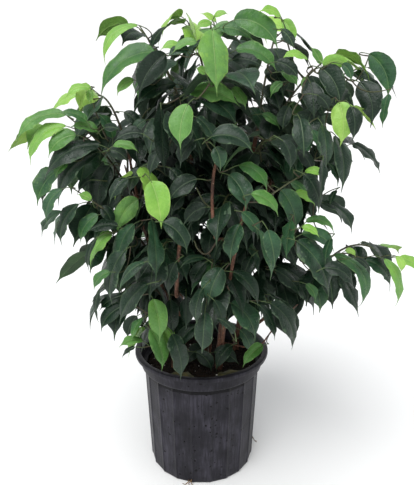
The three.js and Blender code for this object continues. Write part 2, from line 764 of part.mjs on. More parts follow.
sprays.forEach((spray) => {
  const number = String(spray.seed + 1).padStart(2, "0");
  const fork = spray.shoot ? TWIG_RINGS - 1 : TWIG_RINGS;
  const young = leavesOf(spray, 0, spray.shoot);
  const mature = leavesOf(spray, spray.shoot, spray.leaves);
  addPart(`spray_${number}`, makeSpray(twigRings(spray, 0, fork, spray.start), 0, mature), "mature");
  if (spray.shoot) {
    addPart(`shoot_${number}`, makeSpray(twigRings(spray, fork, TWIG_RINGS, SEAT_GAP), fork, young), "young");
  }
});

export default plant;
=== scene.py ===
import json
import math
import random

import bmesh
import bpy
import numpy as np
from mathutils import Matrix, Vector
from mathutils.bvhtree import BVHTree

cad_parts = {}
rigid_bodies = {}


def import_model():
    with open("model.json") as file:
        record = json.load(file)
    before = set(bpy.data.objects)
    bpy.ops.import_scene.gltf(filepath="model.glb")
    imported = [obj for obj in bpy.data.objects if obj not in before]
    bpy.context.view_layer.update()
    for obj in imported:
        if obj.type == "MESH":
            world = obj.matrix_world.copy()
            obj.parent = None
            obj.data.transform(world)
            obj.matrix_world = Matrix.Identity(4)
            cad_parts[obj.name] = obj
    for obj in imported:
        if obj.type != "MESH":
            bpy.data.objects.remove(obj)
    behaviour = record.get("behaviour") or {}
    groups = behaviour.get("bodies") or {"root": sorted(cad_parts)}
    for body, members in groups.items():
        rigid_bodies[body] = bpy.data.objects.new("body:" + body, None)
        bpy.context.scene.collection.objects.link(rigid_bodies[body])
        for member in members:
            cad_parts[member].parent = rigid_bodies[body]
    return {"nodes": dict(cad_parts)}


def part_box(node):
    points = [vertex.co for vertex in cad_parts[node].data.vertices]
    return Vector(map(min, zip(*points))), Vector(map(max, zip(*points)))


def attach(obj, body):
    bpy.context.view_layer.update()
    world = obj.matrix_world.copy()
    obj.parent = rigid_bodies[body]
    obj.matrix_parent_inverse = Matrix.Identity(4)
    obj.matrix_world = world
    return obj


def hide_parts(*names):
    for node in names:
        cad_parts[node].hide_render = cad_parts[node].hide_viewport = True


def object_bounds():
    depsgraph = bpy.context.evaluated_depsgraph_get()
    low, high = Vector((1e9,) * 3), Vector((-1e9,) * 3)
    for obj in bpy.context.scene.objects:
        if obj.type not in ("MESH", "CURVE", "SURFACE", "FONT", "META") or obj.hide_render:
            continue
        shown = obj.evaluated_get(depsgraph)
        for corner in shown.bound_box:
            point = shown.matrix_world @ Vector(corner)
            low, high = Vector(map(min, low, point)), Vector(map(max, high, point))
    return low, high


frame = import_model()
cad_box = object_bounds()

# The pot is a 10 inch nursery pot, blow-moulded in one piece from black polyethylene. Its thin
# wall is stiffened by 20 upright ribs with flat panels between them, and a collar under the
# rolled rim lets pots be lifted and stacked. Six slots at the foot let water out.
MM = 0.001
POT_HEIGHT = 241
RIM_RADIUS = 133.5
COLLAR_FOOT = 209
BODY_RADII = (104.5, 114)
POT_WALL = 2.2
POT_FLOOR = 3
RIB_COUNT = 20
RIB_HEIGHT = 1.3
# Half of a rib and half of the flat panel between two, in degrees round the pot
RIB_HALF = 1.7
PANEL_HALF = 180 / RIB_COUNT - RIB_HALF
DRAIN_COUNT = 6
DRAIN_TURN = -11.4
DRAIN_LEVEL = 8.5
DRAIN_HALF = (6, 2.5)
DRAIN_CORNER = 2
DRAIN_REACH = (-116, -92)
# The collar's radii and heights from below, and the rolled lip's, counted from the rim's edge
COLLAR_ROWS = [(121.1, 210), (121.7, 213), (122.6, 219), (123.5, 225), (124.2, 230.4)]
LIP_ROWS = [
    (-8.5, -9), (-6, -8.1), (-1.7, -7.9), (-0.5, -7.3), (0, -6), (0, -1.8), (-0.4, -0.6), (-1.5, 0),
    (-5, 0), (-8.5, -0.3), (-10.3, -1), (-11.2, -2.4), (-11.9, -9), (-14.2, -27.5),
]


def linear(hex_colour):
    """An sRGB hex colour as the linear RGBA that a shader takes."""
    parts = [int(hex_colour[i : i + 2], 16) / 255 for i in (1, 3, 5)]
    return [c / 12.92 if c <= 0.04045 else ((c + 0.055) / 1.055) ** 2.4 for c in parts] + [1]


def add(tree, kind, settings=None, **links):
    """Adds a node with its settings, where stops are a colour ramp's places and hex colours. A
    link is named for its socket, or by i and the socket's number. It takes a value, a socket, or
    a node, whose first output in use is then linked."""
    node = tree.nodes.new("ShaderNode" + kind)
    for name, value in (settings or {}).items():
        if name != "stops":
            setattr(node, name, value)
            continue
        ends = node.color_ramp.elements[:]
        for end, (place, colour) in zip(ends, (value[0], value[-1])):
            end.position, end.color = place, linear(colour)
        for place, colour in value[1:-1]:
            node.color_ramp.elements.new(place).color = linear(colour)
    for name, value in links.items():
        key = int(name[1:]) if name[0] == "i" and name[1:].isdigit() else name.replace("_", " ")
        socket = node.inputs[key]
        if isinstance(value, bpy.types.Node):
            value = next(output for output in value.outputs if output.enabled)
        if isinstance(value, bpy.types.NodeSocket):
            tree.links.new(value, socket)
        else:
            socket.default_value = value
    return node


def new_material(name):
    """An empty material and its node tree."""
    material = bpy.data.materials.new(name)
    material.use_nodes = True
    tree = material.node_tree
    tree.nodes.clear()
    return material, tree


def mesh_object(name, points, faces, materials, face_materials=None, smooth=True):
    """A mesh from points in millimetres. faces is a list of index arrays, one row per face."""
    mesh = bpy.data.meshes.new(name)
    faces = [np.asarray(block, dtype=np.int32) for block in faces if len(block)]
    loops = np.concatenate([block.ravel() for block in faces])
    sizes = np.concatenate([np.full(len(block), block.shape[1]) for block in faces])
    mesh.vertices.add(len(points))
    mesh.vertices.foreach_set("co", (np.asarray(points) * MM).ravel())
    mesh.loops.add(len(loops))
    mesh.loops.foreach_set("vertex_index", loops)
    mesh.polygons.add(len(sizes))
    mesh.polygons.foreach_set("loop_start", np.concatenate([[0], np.cumsum(sizes)[:-1]]))
    for material in materials:
        mesh.materials.append(material)
    if face_materials is not None:
        mesh.polygons.foreach_set("material_index", np.concatenate(face_materials))
    mesh.polygons.foreach_set("use_smooth", np.full(len(sizes), smooth))
    mesh.update(calc_edges=True)
    piece = bpy.data.objects.new(name, mesh)
    bpy.context.scene.collection.objects.link(piece)
    return piece


def grid_faces(rows, columns):
    """Four-cornered faces of a grid of points, row by row, closed round into a tube."""
    i, j = np.meshgrid(np.arange(rows - 1), np.arange(columns), indexing="ij")
    k = (j + 1) % columns
    corners = [i * columns + j, i * columns + k, (i + 1) * columns + k, (i + 1) * columns + j]
    return np.stack([corner.ravel() for corner in corners], axis=1)


def closed_ends(rows, columns):
    """The faces that close a tube of points at its first and last rows."""
    return [np.arange(columns)[None, ::-1], (rows - 1) * columns + np.arange(columns)[None, :]]


def around(radius, angle, z):
    """A point at a distance from the pot's axis and an angle from its front."""
    return radius * math.sin(angle), -radius * math.cos(angle), z


def pot_wall_radius(z):
    return BODY_RADII[0] + (BODY_RADII[1] - BODY_RADII[0]) * z / COLLAR_FOOT


def pot_profile():
    """Rows of radius, height, how flat the panels are and how high the ribs stand there."""
    foot = BODY_RADII[0]
    rows = [(0.5, 0, 1, 0), (55, 0, 1, 0), (foot - 3.4, 0, 1, 0), (foot - 2.4, 0.2, 1, 0.2)]
    rows += [(foot - 1.2, 1.2, 1, 0.5), (foot - 0.3, 2.6, 1, 0.8)]
    rows += [(pot_wall_radius(z), z, 1, 1) for z in (5, 18, 40, 65, 90, 115, 140, 165, 188, 202)]
    rows += [(pot_wall_radius(206), 206, 1, 0.8), (pot_wall_radius(208), 207.6, 0.8, 0.3)]
    rows += [(117, 208.3, 0.4, 0), (120, 208.8, 0.1, 0)]
    rows += [(radius, z, 0, 0) for radius, z in COLLAR_ROWS]
    rows += [(RIM_RADIUS + out, POT_HEIGHT + up, 0, 0) for out, up in LIP_ROWS]
    rows += [(118.2, 211.6, 0.2, 0), (114, 210.6, 0.7, 0)]
    rows += [(pot_wall_radius(z) - POT_WALL, z, 1, 0) for z in (209, 200, 120, 40, 8, POT_FLOOR)]
    return rows + [(0.5, POT_FLOOR, 1, 0)]


def make_pot():
    """The shell as one closed mesh. Its points stand close on a rib and wide on a panel."""
    across_rib = [-1.7, -1.35, -0.95, -0.5, 0, 0.5, 0.95, 1.35, 1.7]
    across_panel = [3.6, 6, 9, 12, 14.4]
    points = []
    for radius, z, flat, rib in pot_profile():
        for panel in range(RIB_COUNT):
            for degrees in across_rib + across_panel:
                off_centre = abs(degrees - 180 / RIB_COUNT) if degrees > RIB_HALF else PANEL_HALF
                chord = math.cos(math.radians(PANEL_HALF)) / math.cos(math.radians(off_centre))
                crest = math.cos(math.pi / 2 * min(abs(degrees) / RIB_HALF, 1)) ** 1.3
                reach = radius * (1 + (chord - 1) * flat) + RIB_HEIGHT * rib * crest
                angle = math.radians((panel + 0.5) * 360 / RIB_COUNT + degrees)
                points.append(around(reach, angle, z))
    columns = RIB_COUNT * len(across_rib + across_panel)
    rows = len(points) // columns
    return points, [grid_faces(rows, columns), *closed_ends(rows, columns)]


def cut(piece, cutter):
    """Cuts one mesh out of another and clears the cutter away."""
    modifier = piece.modifiers.new("cut", "BOOLEAN")
    modifier.operation = "DIFFERENCE"
    modifier.object = cutter
    bpy.context.view_layer.update()
    shaped = bpy.data.meshes.new_from_object(piece.evaluated_get(bpy.context.evaluated_depsgraph_get()))
    piece.modifiers.clear()
    piece.data = shaped
    bpy.data.objects.remove(cutter)


def drain_slots():
    """Rounded slots through the foot of the wall, turned as they were in the mould."""
    points, faces = [], []
    corners = 16
    for i in range(DRAIN_COUNT):
        turn = math.radians(i * 360 / DRAIN_COUNT + DRAIN_TURN)
        start = len(points)
        for depth in DRAIN_REACH:
            for angle in [2 * math.pi * (k + 0.5) / corners for k in range(corners)]:
                aside, up = math.cos(angle), math.sin(angle)
                x = DRAIN_HALF[0] * np.sign(aside) + DRAIN_CORNER * aside
                z = DRAIN_LEVEL + DRAIN_HALF[1] * np.sign(up) + DRAIN_CORNER * up
                out = x * math.sin(turn) + depth * math.cos(turn)
                points.append((x * math.cos(turn) - depth * math.sin(turn), out, z))
        faces += [start + block for block in (grid_faces(2, corners), *closed_ends(2, corners))]
    return mesh_object("drain_cutter", points, faces, [])


def moulded_polyethylene():
    """Black polyethylene as it leaves the mould: a dull charcoal skin with a fine sand texture,
    greyed by dried splashes of soil water and spotted dark where drops still stand on it. A band
    of the wall just under the collar is darkened as painted shade from the collar's overhang. The
    sand is drawn about ten times as coarse as it is, so that it shows."""
    material, tree = new_material("moulded_black_polyethylene")
    place = add(tree, "TexCoord").outputs["Object"]
    cloudy = add(tree, "TexNoise", Vector=place, Scale=1 / (45 * MM), Detail=5, Roughness=0.6)
    tall = add(tree, "Mapping", Vector=place, Scale=(1, 1, 0.07))
    runs = add(tree, "TexNoise", Vector=tall, Scale=1 / (4 * MM), Detail=5, Roughness=0.7)
    dust = add(tree, "Math", {"operation": "MULTIPLY"}, i0=cloudy, i1=runs)
    greys = [(0.12, "#17161b"), (0.25, "#25242a"), (0.4, "#3b3942")]
    charcoal = add(tree, "ValToRGB", {"stops": greys}, Fac=dust)
    spots = add(tree, "TexVoronoi", Vector=place, Scale=1 / (10 * MM), Randomness=1)
    chosen = add(tree, "SeparateColor", Color=spots.outputs["Color"]).outputs["Red"]
    reach = add(tree, "MapRange", Value=chosen, From_Min=0.2, From_Max=1, To_Min=0, To_Max=0.27)
    drop = add(tree, "Math", {"operation": "LESS_THAN"}, i0=spots, i1=reach)
    long = add(tree, "Mapping", Vector=place, Scale=(1, 1, 0.09))
    drips = add(tree, "TexVoronoi", Vector=long, Scale=1 / (17 * MM), Randomness=1)
    few = add(tree, "SeparateColor", Color=drips.outputs["Color"]).outputs["Green"]
    width = add(tree, "MapRange", Value=few, From_Min=0.6, From_Max=1, To_Min=0, To_Max=0.12)
    drip = add(tree, "Math", {"operation": "LESS_THAN"}, i0=drips, i1=width)
    height = add(tree, "SeparateXYZ", Vector=place).outputs["Z"]
    # The wall just under the collar is darkened here as painted shade, where the collar's overhang shades
    # it.
    collar_shade_height = (COLLAR_FOOT - 6) * MM
    below = add(tree, "Math", {"operation": "COMPARE"}, i0=height, i1=collar_shade_height, i2=5 * MM)
    wet = add(tree, "Math", {"operation": "MAXIMUM"}, i0=drop, i1=drip)
    # The wet drops and drips are real marks; the band under the collar joined to them here is painted shade.
    dark = add(tree, "Math", {"operation": "MAXIMUM"}, i0=wet, i1=below)
    colour = add(tree, "Mix", {"data_type": "RGBA"}, Factor=dark, i6=charcoal, i7=linear("#0c0b0f"))
    gloss = add(tree, "MapRange", Value=wet, To_Min=0.44, To_Max=0.2)
    sand = add(tree, "TexNoise", Vector=place, Scale=1 / (1.6 * MM), Detail=2)
    relief = add(tree, "Math", {"operation": "MULTIPLY_ADD"}, i0=wet, i1=1.5, i2=sand)
    bump = add(tree, "Bump", Height=relief, Distance=0.5 * MM, Strength=0.5)
    skin = add(
        tree, "BsdfPrincipled", Base_Color=colour, Roughness=gloss, Normal=bump, Specular_IOR_Level=0.14
    )
    add(tree, "OutputMaterial", Surface=skin)
    return material


pot = mesh_object("pot_shell", *make_pot(), [moulded_polyethylene()])
cut(pot, drain_slots())
pot.data.set_sharp_from_angle(angle=math.radians(34))
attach(pot, "root")
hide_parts("nursery_pot")

# The potting mix is peat and ground bark, watered and settled about an inch below the rim,
# with white perlite crumbs that have floated up. It is loose: its top is all crumbs.
SOIL_EDGE = 208
SOIL_CROWN = 6
SOIL_RADIUS = pot_wall_radius(204) - POT_WALL - 0.6
CRUMB_HEIGHT = (-1.5, 1.1)
EDGE_DROP = 3.4


def noise(n):
    """A repeatable number from 0 to 1 for each whole number."""
    x = math.sin(n * 12.9898 + 4.1414) * 43758.5453
    return x - math.floor(x)


def vary(span, n):
    """A repeatable number within a reach of a middle value."""
    middle, reach = span
    return middle + reach * (2 * noise(n) - 1)


def soil_top(radius):
    """The soil's height, which falls a little from the stems to the wall."""
    return SOIL_EDGE + SOIL_CROWN * math.cos(radius / BODY_RADII[1] * math.pi / 2)


def make_soil():
    """A crumbly top on a plain body that goes down to the pot's floor."""
    rings, columns = 46, 150
    draw = random.Random(7)
    points = []
    angles = [2 * math.pi * j / columns for j in range(columns)]
    for i in range(rings + 1):
        radius = SOIL_RADIUS * ((i + 0.1) / (rings + 0.1))
        for angle in angles:
            crumb = draw.uniform(*CRUMB_HEIGHT) if i < rings else -EDGE_DROP
            points.append(around(radius, angle, soil_top(radius) + crumb))
    foot = pot_wall_radius(POT_FLOOR) - POT_WALL - 1.2
    points += [around(radius, angle, POT_FLOOR + 0.4) for radius in (foot, 0.5) for angle in angles]
    rows = rings + 3
    faces = [grid_faces(rows, columns), *closed_ends(rows, columns)]
    return points, [block[:, ::-1] for block in faces]


def crumbs(name, count, sizes, flat, material, seed):
    """Loose irregular bits strewn over the soil, each a small uneven ball or flake."""
    ball = bmesh.new()
    bmesh.ops.create_icosphere(ball, subdivisions=1, radius=1)
    shape = np.array([vertex.co[:] for vertex in ball.verts])
    triangles = np.array([[vertex.index for vertex in face.verts] for face in ball.faces])
    ball.free()
    draw = np.random.RandomState(seed)
    points, faces = [], []
    for i in range(count):
        size = draw.uniform(*sizes)
        radius = (SOIL_RADIUS - 5) * math.sqrt(draw.uniform(0.02, 1))
        angle = draw.uniform(0, 2 * math.pi)
        tilt, _ = np.linalg.qr(draw.normal(size=(3, 3)))
        bit = shape * (1 + draw.uniform(-0.3, 0.3, shape.shape)) * [1, draw.uniform(0.6, 1), flat]
        if np.linalg.det(tilt) < 0:
            tilt[:, 0] *= -1
        if flat < 0.5:
            ahead, aside = math.cos(angle), math.sin(angle)
            tilt = np.array([[ahead, -aside, 0], [aside, ahead, 0], [0, 0, 1]])
        place = around(radius, angle, soil_top(radius) + size * flat * 0.3)
        points.append(bit @ tilt.T * size + place)
        faces.append(triangles + i * len(shape))
    return mesh_object(name, np.concatenate(points), faces, [material], smooth=False)


def potting_mix():
    """Damp peat and bark: nearly black in the hollows, brown on the crumbs, and matt."""
    material, tree = new_material("damp_potting_mix")
    place = add(tree, "TexCoord").outputs["Object"]
    lumps = add(tree, "TexNoise", Vector=place, Scale=1 / (6 * MM), Detail=6, Roughness=0.7)
    browns = [(0.3, "#0d0a08"), (0.5, "#1d1610"), (0.72, "#37291e")]
    colour = add(tree, "ValToRGB", {"stops": browns}, Fac=lumps)
    fine = add(tree, "TexNoise", Vector=place, Scale=1 / (2 * MM), Detail=4)
    bump = add(tree, "Bump", Height=fine, Distance=2 * MM, Strength=0.8)
    damp = add(
        tree, "BsdfPrincipled", Base_Color=colour, Roughness=0.95, Normal=bump, Specular_IOR_Level=0.2
    )
    add(tree, "OutputMaterial", Surface=damp)
    return material


def perlite():
    """Expanded volcanic glass: chalk-white popcorn, greyed as painted shade where its pits sink."""
    material, tree = new_material("perlite")
    place = add(tree, "TexCoord").outputs["Object"]
    pits = add(tree, "TexNoise", Vector=place, Scale=1 / (1.2 * MM), Detail=3)
    # The colour greys where the bump sinks: painted shade in the pits.
    colour = add(tree, "ValToRGB", {"stops": [(0.35, "#a8a498"), (0.6, "#e9e7df")]}, Fac=pits)
    bump = add(tree, "Bump", Height=pits, Distance=0.6 * MM, Strength=0.6)
    chalky = add(tree, "BsdfPrincipled", Base_Color=colour, Roughness=0.9, Normal=bump)
    add(tree, "OutputMaterial", Surface=chalky)
    return material


mix = potting_mix()
soil = mesh_object("soil_body", *make_soil(), [mix], smooth=False)
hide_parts("potting_soil")
bark_chips = crumbs("bark_chips", 210, (2, 5.5), 0.35, mix, 3)
perlite_crumbs = crumbs("perlite_crumbs", 26, (0.8, 2.2), 0.9, perlite(), 5)
for piece in (soil, bark_chips, perlite_crumbs):
    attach(piece, "root")

# The stems are five rooted cuttings, set together so that they grow into one bush. Each is a
# slender woody shoot in smooth reddish-brown bark, ringed where leaves have fallen, and some
# of them fork. They stand in the mix with no stake or tie.
STEM_FOOT = 130
WOOD_TAPER = 0.6
WOOD_STEP = 8
SCAR_SWELL = 0.09
FORK_SWELL, FORK_COLLAR = 0.5, 9
# A stem bows and leans on its way from its foot to its top, and a fork leaves its parent's wood
# at the height in its row
WOOD = [
    {"foot": (-56, -26), "bow": (-52, -44), "lean": (-26, -44), "top": (-10, -58, 690), "radius": 8},
    {"foot": (33, -37), "bow": (30, -44), "lean": (66, -40), "top": (96, -66, 670), "radius": 8.5},
    {"foot": (4, 28), "bow": (26, -30), "lean": (18, -22), "top": (16, -6, 745), "radius": 8},
    {"foot": (66, 34), "bow": (74, 60), "lean": (120, 36), "top": (150, 30, 670), "radius": 7},
    {"foot": (-36, 58), "bow": (-40, 96), "lean": (-66, 80), "top": (-66, 92, 680), "radius": 7},
    {"parent": 0, "from": 300, "bow": (-86, -40), "lean": (-112, -50), "top": (-124, -60, 640), "radius": 5},
    {"parent": 3, "from": 232, "bow": (118, 14), "lean": (168, -4), "top": (216, -24, 392), "radius": 4.5},
    {"parent": 1, "from": 420, "bow": (88, -66), "lean": (112, -104), "top": (136, -96, 640), "radius": 4.5},
    {"parent": 4, "from": 330, "bow": (-92, 84), "lean": (-128, 60), "top": (-150, 50, 600), "radius": 4.5},
    {"parent": 3, "from": 360, "bow": (120, 96), "lean": (146, 118), "top": (156, 124, 600), "radius": 4.5},
    {"parent": 2, "from": 380, "bow": (34, 66), "lean": (40, 104), "top": (36, 124, 660), "radius": 4.5},
]


def wood_foot(wood):
    if "parent" in wood:
        return wood_point(WOOD[wood["parent"]], wood["from"])
    return np.array([*wood["foot"], STEM_FOOT], dtype=float)


def wood_point(wood, z):
    """Where a stem's middle line is at a height. It climbs evenly from its foot to its top."""
    foot, top = wood_foot(wood), np.array(wood["top"], dtype=float)
    climb = (top[2] - foot[2]) / 3
    bow = np.array([*wood["bow"], foot[2] + climb])
    lean = np.array([*wood["lean"], foot[2] + 2 * climb])
    t = (z - foot[2]) / (top[2] - foot[2])
    return foot * (1 - t) ** 3 + bow * 3 * t * (1 - t) ** 2 + lean * 3 * t * t * (1 - t) + top * t**3


def tube(path, radii, sides):
    """A closed tube along a path: its points, its four-cornered faces and its two ends."""
    path = np.asarray(path, dtype=float)
    ahead = np.gradient(path, axis=0)
    ahead /= np.linalg.norm(ahead, axis=1)[:, None]
    side = np.cross(ahead[0], [0.13, 0.2, 1])
    points = []
    turns = 2 * np.pi * np.arange(sides) / sides
    for centre, heading, radius in zip(path, ahead, radii):
        side = side - heading * side.dot(heading)
        side /= np.linalg.norm(side)
        up = np.cross(heading, side)
        points.append(centre + radius * (np.cos(turns)[:, None] * side + np.sin(turns)[:, None] * up))
    last = (len(path) - 1) * sides
    fans = [[(0, k + 1, k), (last, last + k, last + k + 1)] for k in range(1, sides - 1)]
    return np.concatenate(points), grid_faces(len(path), sides), np.array(fans).reshape(-1, 3)


def bundle(tubes):
    """Some tubes as one mesh: its points, and its four-cornered and three-cornered faces."""
    all_points, all_quads, all_triangles = [], [], []
    start = 0
    for points, quads, triangles in tubes:
        all_points.append(points)
        all_quads.append(quads + start)
        all_triangles.append(triangles + start)
        start += len(points)
    return np.concatenate(all_points), [np.concatenate(all_quads), np.concatenate(all_triangles)]


def woody_stem(index):
    """One stem with its forks. Old leaf scars swell it a little every few centimetres, and a
    fork has a collar where it leaves the stem."""
    tubes = []
    for k, wood in enumerate(WOOD):
        if k != index and wood.get("parent") != index:
            continue
        foot, top = wood_foot(wood)[2], wood["top"][2]
        heights = np.arange(foot, top + 4, WOOD_STEP)
        heights[-1] = top
        t = (heights - foot) / (top - foot)
        radii = wood["radius"] * (1 - WOOD_TAPER * t) * 0.96
        scars = (heights / WOOD_STEP + 3 * k).astype(int) % 5 == 0
        radii = radii * (1 + SCAR_SWELL * scars + 0.03 * np.sin(heights * 0.11 + k))
        if k != index:
            radii = radii * (1 + FORK_SWELL * np.exp(-(heights - foot) / FORK_COLLAR))
        radii[-1] *= 0.6
        tubes.append(tube([wood_point(wood, z) for z in heights], radii, 14 if k == index else 10))
    return bundle(tubes)


def fig_bark():
    """Young fig bark: thin, smooth and reddish brown, with pale corky pores and upright grain."""
    material, tree = new_material("fig_bark")
    place = add(tree, "TexCoord").outputs["Object"]
    upright = add(tree, "Mapping", Vector=place, Scale=(1, 1, 0.22))
    grain = add(tree, "TexNoise", Vector=upright, Scale=1 / (6 * MM), Detail=5, Roughness=0.65)
    browns = [(0.3, "#35231b"), (0.5, "#5b3a2a"), (0.7, "#80573f")]
    colour = add(tree, "ValToRGB", {"stops": browns}, Fac=grain)
    level = add(tree, "Mapping", Vector=place, Scale=(1, 1, 2.2))
    pores = add(tree, "TexVoronoi", Vector=level, Scale=1 / (7 * MM))
    pale = add(tree, "MapRange", Value=pores, From_Min=0.12, From_Max=0.22, To_Min=0.55, To_Max=0)
    dotted = add(tree, "Mix", {"data_type": "RGBA"}, Factor=pale, i6=colour, i7=linear("#b89878"))
    bump = add(tree, "Bump", Height=grain, Distance=1 * MM, Strength=0.6)
    skin = add(tree, "BsdfPrincipled", Base_Color=dotted, Roughness=0.72, Normal=bump)
    add(tree, "OutputMaterial", Surface=skin)
    return material


bark = fig_bark()
for number in range(5):
    stem = mesh_object(f"woody_stem_{number + 1}", *woody_stem(number), [bark])
    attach(stem, "root")
    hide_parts(f"stem_{number + 1}")

# Fine brown roots have grown out of two of the drain slots. They curl round on the floor and up
# the wall, and each thins from the slot outwards.
ROOT_RADII = (1.1, 0.5)
# A root's points, each with its bearing in degrees, its distance from the axis and its height
ROOTS = [
    [(-101.4, 97, 7), (-101, 107, 5), (-99, 112, 2.5), (-96, 116, 1.2)],
    [(-103, 97, 6), (-103.5, 108, 4), (-106, 113, 1.4), (-109, 112, 1.1)],
    [(-100, 97, 8), (-100.5, 107, 7.5), (-102.5, 113, 5), (-101, 118, 1.2)],
    [(18.6, 97, 8), (17, 111, 10), (8, 111, 16), (-2, 111, 24), (-7, 113, 28), (-5, 117, 24)],
    [(19.5, 97, 7), (17.5, 112, 8), (7, 113, 12), (-1, 113, 19), (-4, 117, 20)],
]


def fine_root(root):
    bearing, reach, height = np.array(root).T
    bearing = np.radians(bearing)
    path = np.stack([reach * np.cos(bearing), reach * np.sin(bearing), height], axis=1)
    return tube(path, np.linspace(*ROOT_RADII, len(path)), 6)


def root_skin():
    """The skin of a fine root: dull, tan where it is new and brown where it has dried."""
    material, tree = new_material("root_skin")
    place = add(tree, "TexCoord").outputs["Object"]
    grain = add(tree, "TexNoise", Vector=place, Scale=1 / (3 * MM), Detail=3)
    colour = add(tree, "ValToRGB", {"stops": [(0.35, "#4a3420"), (0.65, "#8f6f45")]}, Fac=grain)
    add(tree, "OutputMaterial", Surface=add(tree, "BsdfPrincipled", Base_Color=colour, Roughness=0.8))
    return material


roots = mesh_object("drain_slot_roots", *bundle([fine_root(root) for root in ROOTS]), [root_skin()])
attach(roots, "root")

# The sprays are arching twigs set with leaves on alternate sides. The leaf is the fig's: a
# thin waxy blade, folded a little along its midrib, on a slender stalk, which hangs from a
# rounded base to a long drip tip. The twig is green at its end and brown where it is older.
LEAF_LENGTH = 84
LEAF_PITCH = 17
STALK_LENGTH = 15
STALK_RADIUS = 0.75
BARE_ROOT = 34
JOINT_MARGIN = 4
TWIG_PIECES = 4
LEAF_TRIES = 11
TRY_TURN, TRY_DROP, TRY_SHRINK = 15, 2, 0.012
OPEN, LAST_OPEN = (52, 20), (0, 12)
STALK, STALK_PITCH = (1, 0.2), (12, 12)
START_PITCH, YOUNG_START_PITCH, END_PITCH = (-20, 28), (-2, 22), (-72, 22)
ROLL, TWIST, FOLD = (-8, 34), (0, 30), (13, 8)
SIZE, YOUNG_SIZE = (0.9, 0.16), (0.8, 0.16)
LEAF_HALF_WIDTH = 0.255
BLADE_GIRTH = (1.04, 0.09)
VEIN_SPACING = 4.6
# Shares of the blade's length and half-width from its base to its drip tip
LEAF_OUTLINE = [
    (0, 0.05), (0.015, 0.2), (0.05, 0.44), (0.11, 0.68), (0.19, 0.86), (0.28, 0.96), (0.38, 1),
    (0.48, 0.98), (0.57, 0.9), (0.65, 0.76), (0.715, 0.57), (0.77, 0.36), (0.82, 0.18), (0.88, 0.08),
    (1, 0.02),
]
# The wood a spray leaves, the height there, where it ends, how far it arches up, how many
# leaves it has, and how many of those at its end are young and bright
SPRAYS = [
    (0, 655, (-98, -66, 826), 26, 8, 0), (0, 640, (-70, -128, 776), 30, 9, 0),
    (5, 628, (-168, -70, 724), 26, 9, 3), (5, 530, (-260, -60, 664), 52, 13, 4),
    (5, 480, (-252, -24, 592), 54, 11, 0), (5, 440, (-226, -78, 528), 44, 11, 0),
    (5, 390, (-176, -84, 462), 40, 10, 0), (5, 345, (-140, -96, 388), 32, 9, 0),
    (0, 290, (-92, -116, 336), 34, 8, 2), (0, 520, (-88, -188, 606), 40, 10, 2),
    (2, 690, (14, -142, 806), 26, 10, 0), (2, 720, (-20, -50, 838), 14, 8, 4),
    (2, 735, (84, -10, 842), 18, 9, 3), (1, 655, (122, -70, 822), 20, 10, 0),
    (1, 600, (200, -92, 778), 24, 11, 4), (3, 600, (272, -24, 770), 40, 11, 0),
    (7, 600, (206, -128, 700), 30, 10, 2), (3, 530, (252, -44, 640), 44, 11, 0),
    (7, 500, (180, -142, 556), 33, 10, 0), (6, 380, (334, -70, 446), 50, 11, 2),
    (6, 330, (232, -100, 424), 40, 9, 0), (1, 340, (112, -140, 392), 40, 10, 0),
    (1, 380, (28, -166, 436), 44, 10, 0), (0, 590, (-32, -196, 682), 36, 10, 0),
    (0, 400, (-62, -182, 482), 44, 10, 0), (1, 550, (104, -186, 654), 36, 10, 0),
    (0, 630, (42, -190, 742), 36, 10, 0), (1, 500, (34, -196, 560), 36, 10, 0),
]
CROWN_CENTRE = np.array([10, 10, 548])
CROWN_REACH = np.array([212, 206, 256])
CROWN_STEPS = 89
GOLDEN_ANGLE = math.pi * (3 - math.sqrt(5))
MOST_LEAVES = 11
# A twig leaves its wood this far below its own end, but not too near the wood's foot or top, and
# none grows out lower than the lowest
TWIG_CLIMB = 90
WOOD_ENDS = (30, 20)
LOWEST_TWIG = 262


def nearest_wood(end):
    """The wood nearest a twig's end, lower down, with the height that the twig leaves it at."""
    def height(wood):
        lowest = max(end[2] - TWIG_CLIMB, wood_foot(wood)[2] + WOOD_ENDS[0], LOWEST_TWIG)
        return min(lowest, wood["top"][2] - WOOD_ENDS[1])

    reaches = [np.linalg.norm(wood_point(wood, height(wood)) - end) for wood in WOOD]
    nearest = int(np.argmin(reaches))
    return nearest, height(WOOD[nearest]), reaches[nearest]


def egg_spray(height, depth, turn, lift, pitch, fewest):
    """A spray that ends on an egg round the crown's middle, or inside it by a depth. Its end is
    at a height from -1 to 1 and a turn round the egg, and a longer twig has more leaves."""
    girth = math.sqrt(1 - height * height)
    end = CROWN_CENTRE + CROWN_REACH * depth * [girth * math.cos(turn), girth * math.sin(turn), height]
    wood, root, reach = nearest_wood(end)
    leaves = min(max(math.floor(reach / pitch + 0.5), fewest), MOST_LEAVES)
    return wood, root, tuple(end), lift * reach, leaves, 0


def crown_spray(step):
    """A spray of the rounded crown. The ends are spaced by the golden angle from the top down."""
    height = 0.92 - 1.76 * (step + 0.5) / CROWN_STEPS
    depth = vary((0.91, 0.09), step * 7 + 1)
    return egg_spray(height, depth, step * GOLDEN_ANGLE, lift=0.24, pitch=13, fewest=8)


def twig_joints(spray):
    """The points where a twig's straight pieces meet, along its arch from the wood to its end."""
    wood, root, end, lift = spray[:4]
    start = wood_point(WOOD[wood], root)
    end = np.array(end, dtype=float)
    middle = (start + end) / 2 + [0, 0, 2 * lift]
    t = np.linspace(0, 1, TWIG_PIECES + 1)[:, None]
    return start * (1 - t) ** 2 + middle * 2 * t * (1 - t) + end * t * t


def twig_place(joints, back):
    """The point at a distance back from a twig's end, and the twig's heading there."""
    left = back
    for i in range(TWIG_PIECES, 0, -1):
        piece = joints[i] - joints[i - 1]
        length = np.linalg.norm(piece)
        if left <= length or i == 1:
            along = min(max(left, JOINT_MARGIN), length - JOINT_MARGIN) if back else 0
            return joints[i] - piece / length * along, piece / length
        left -= length


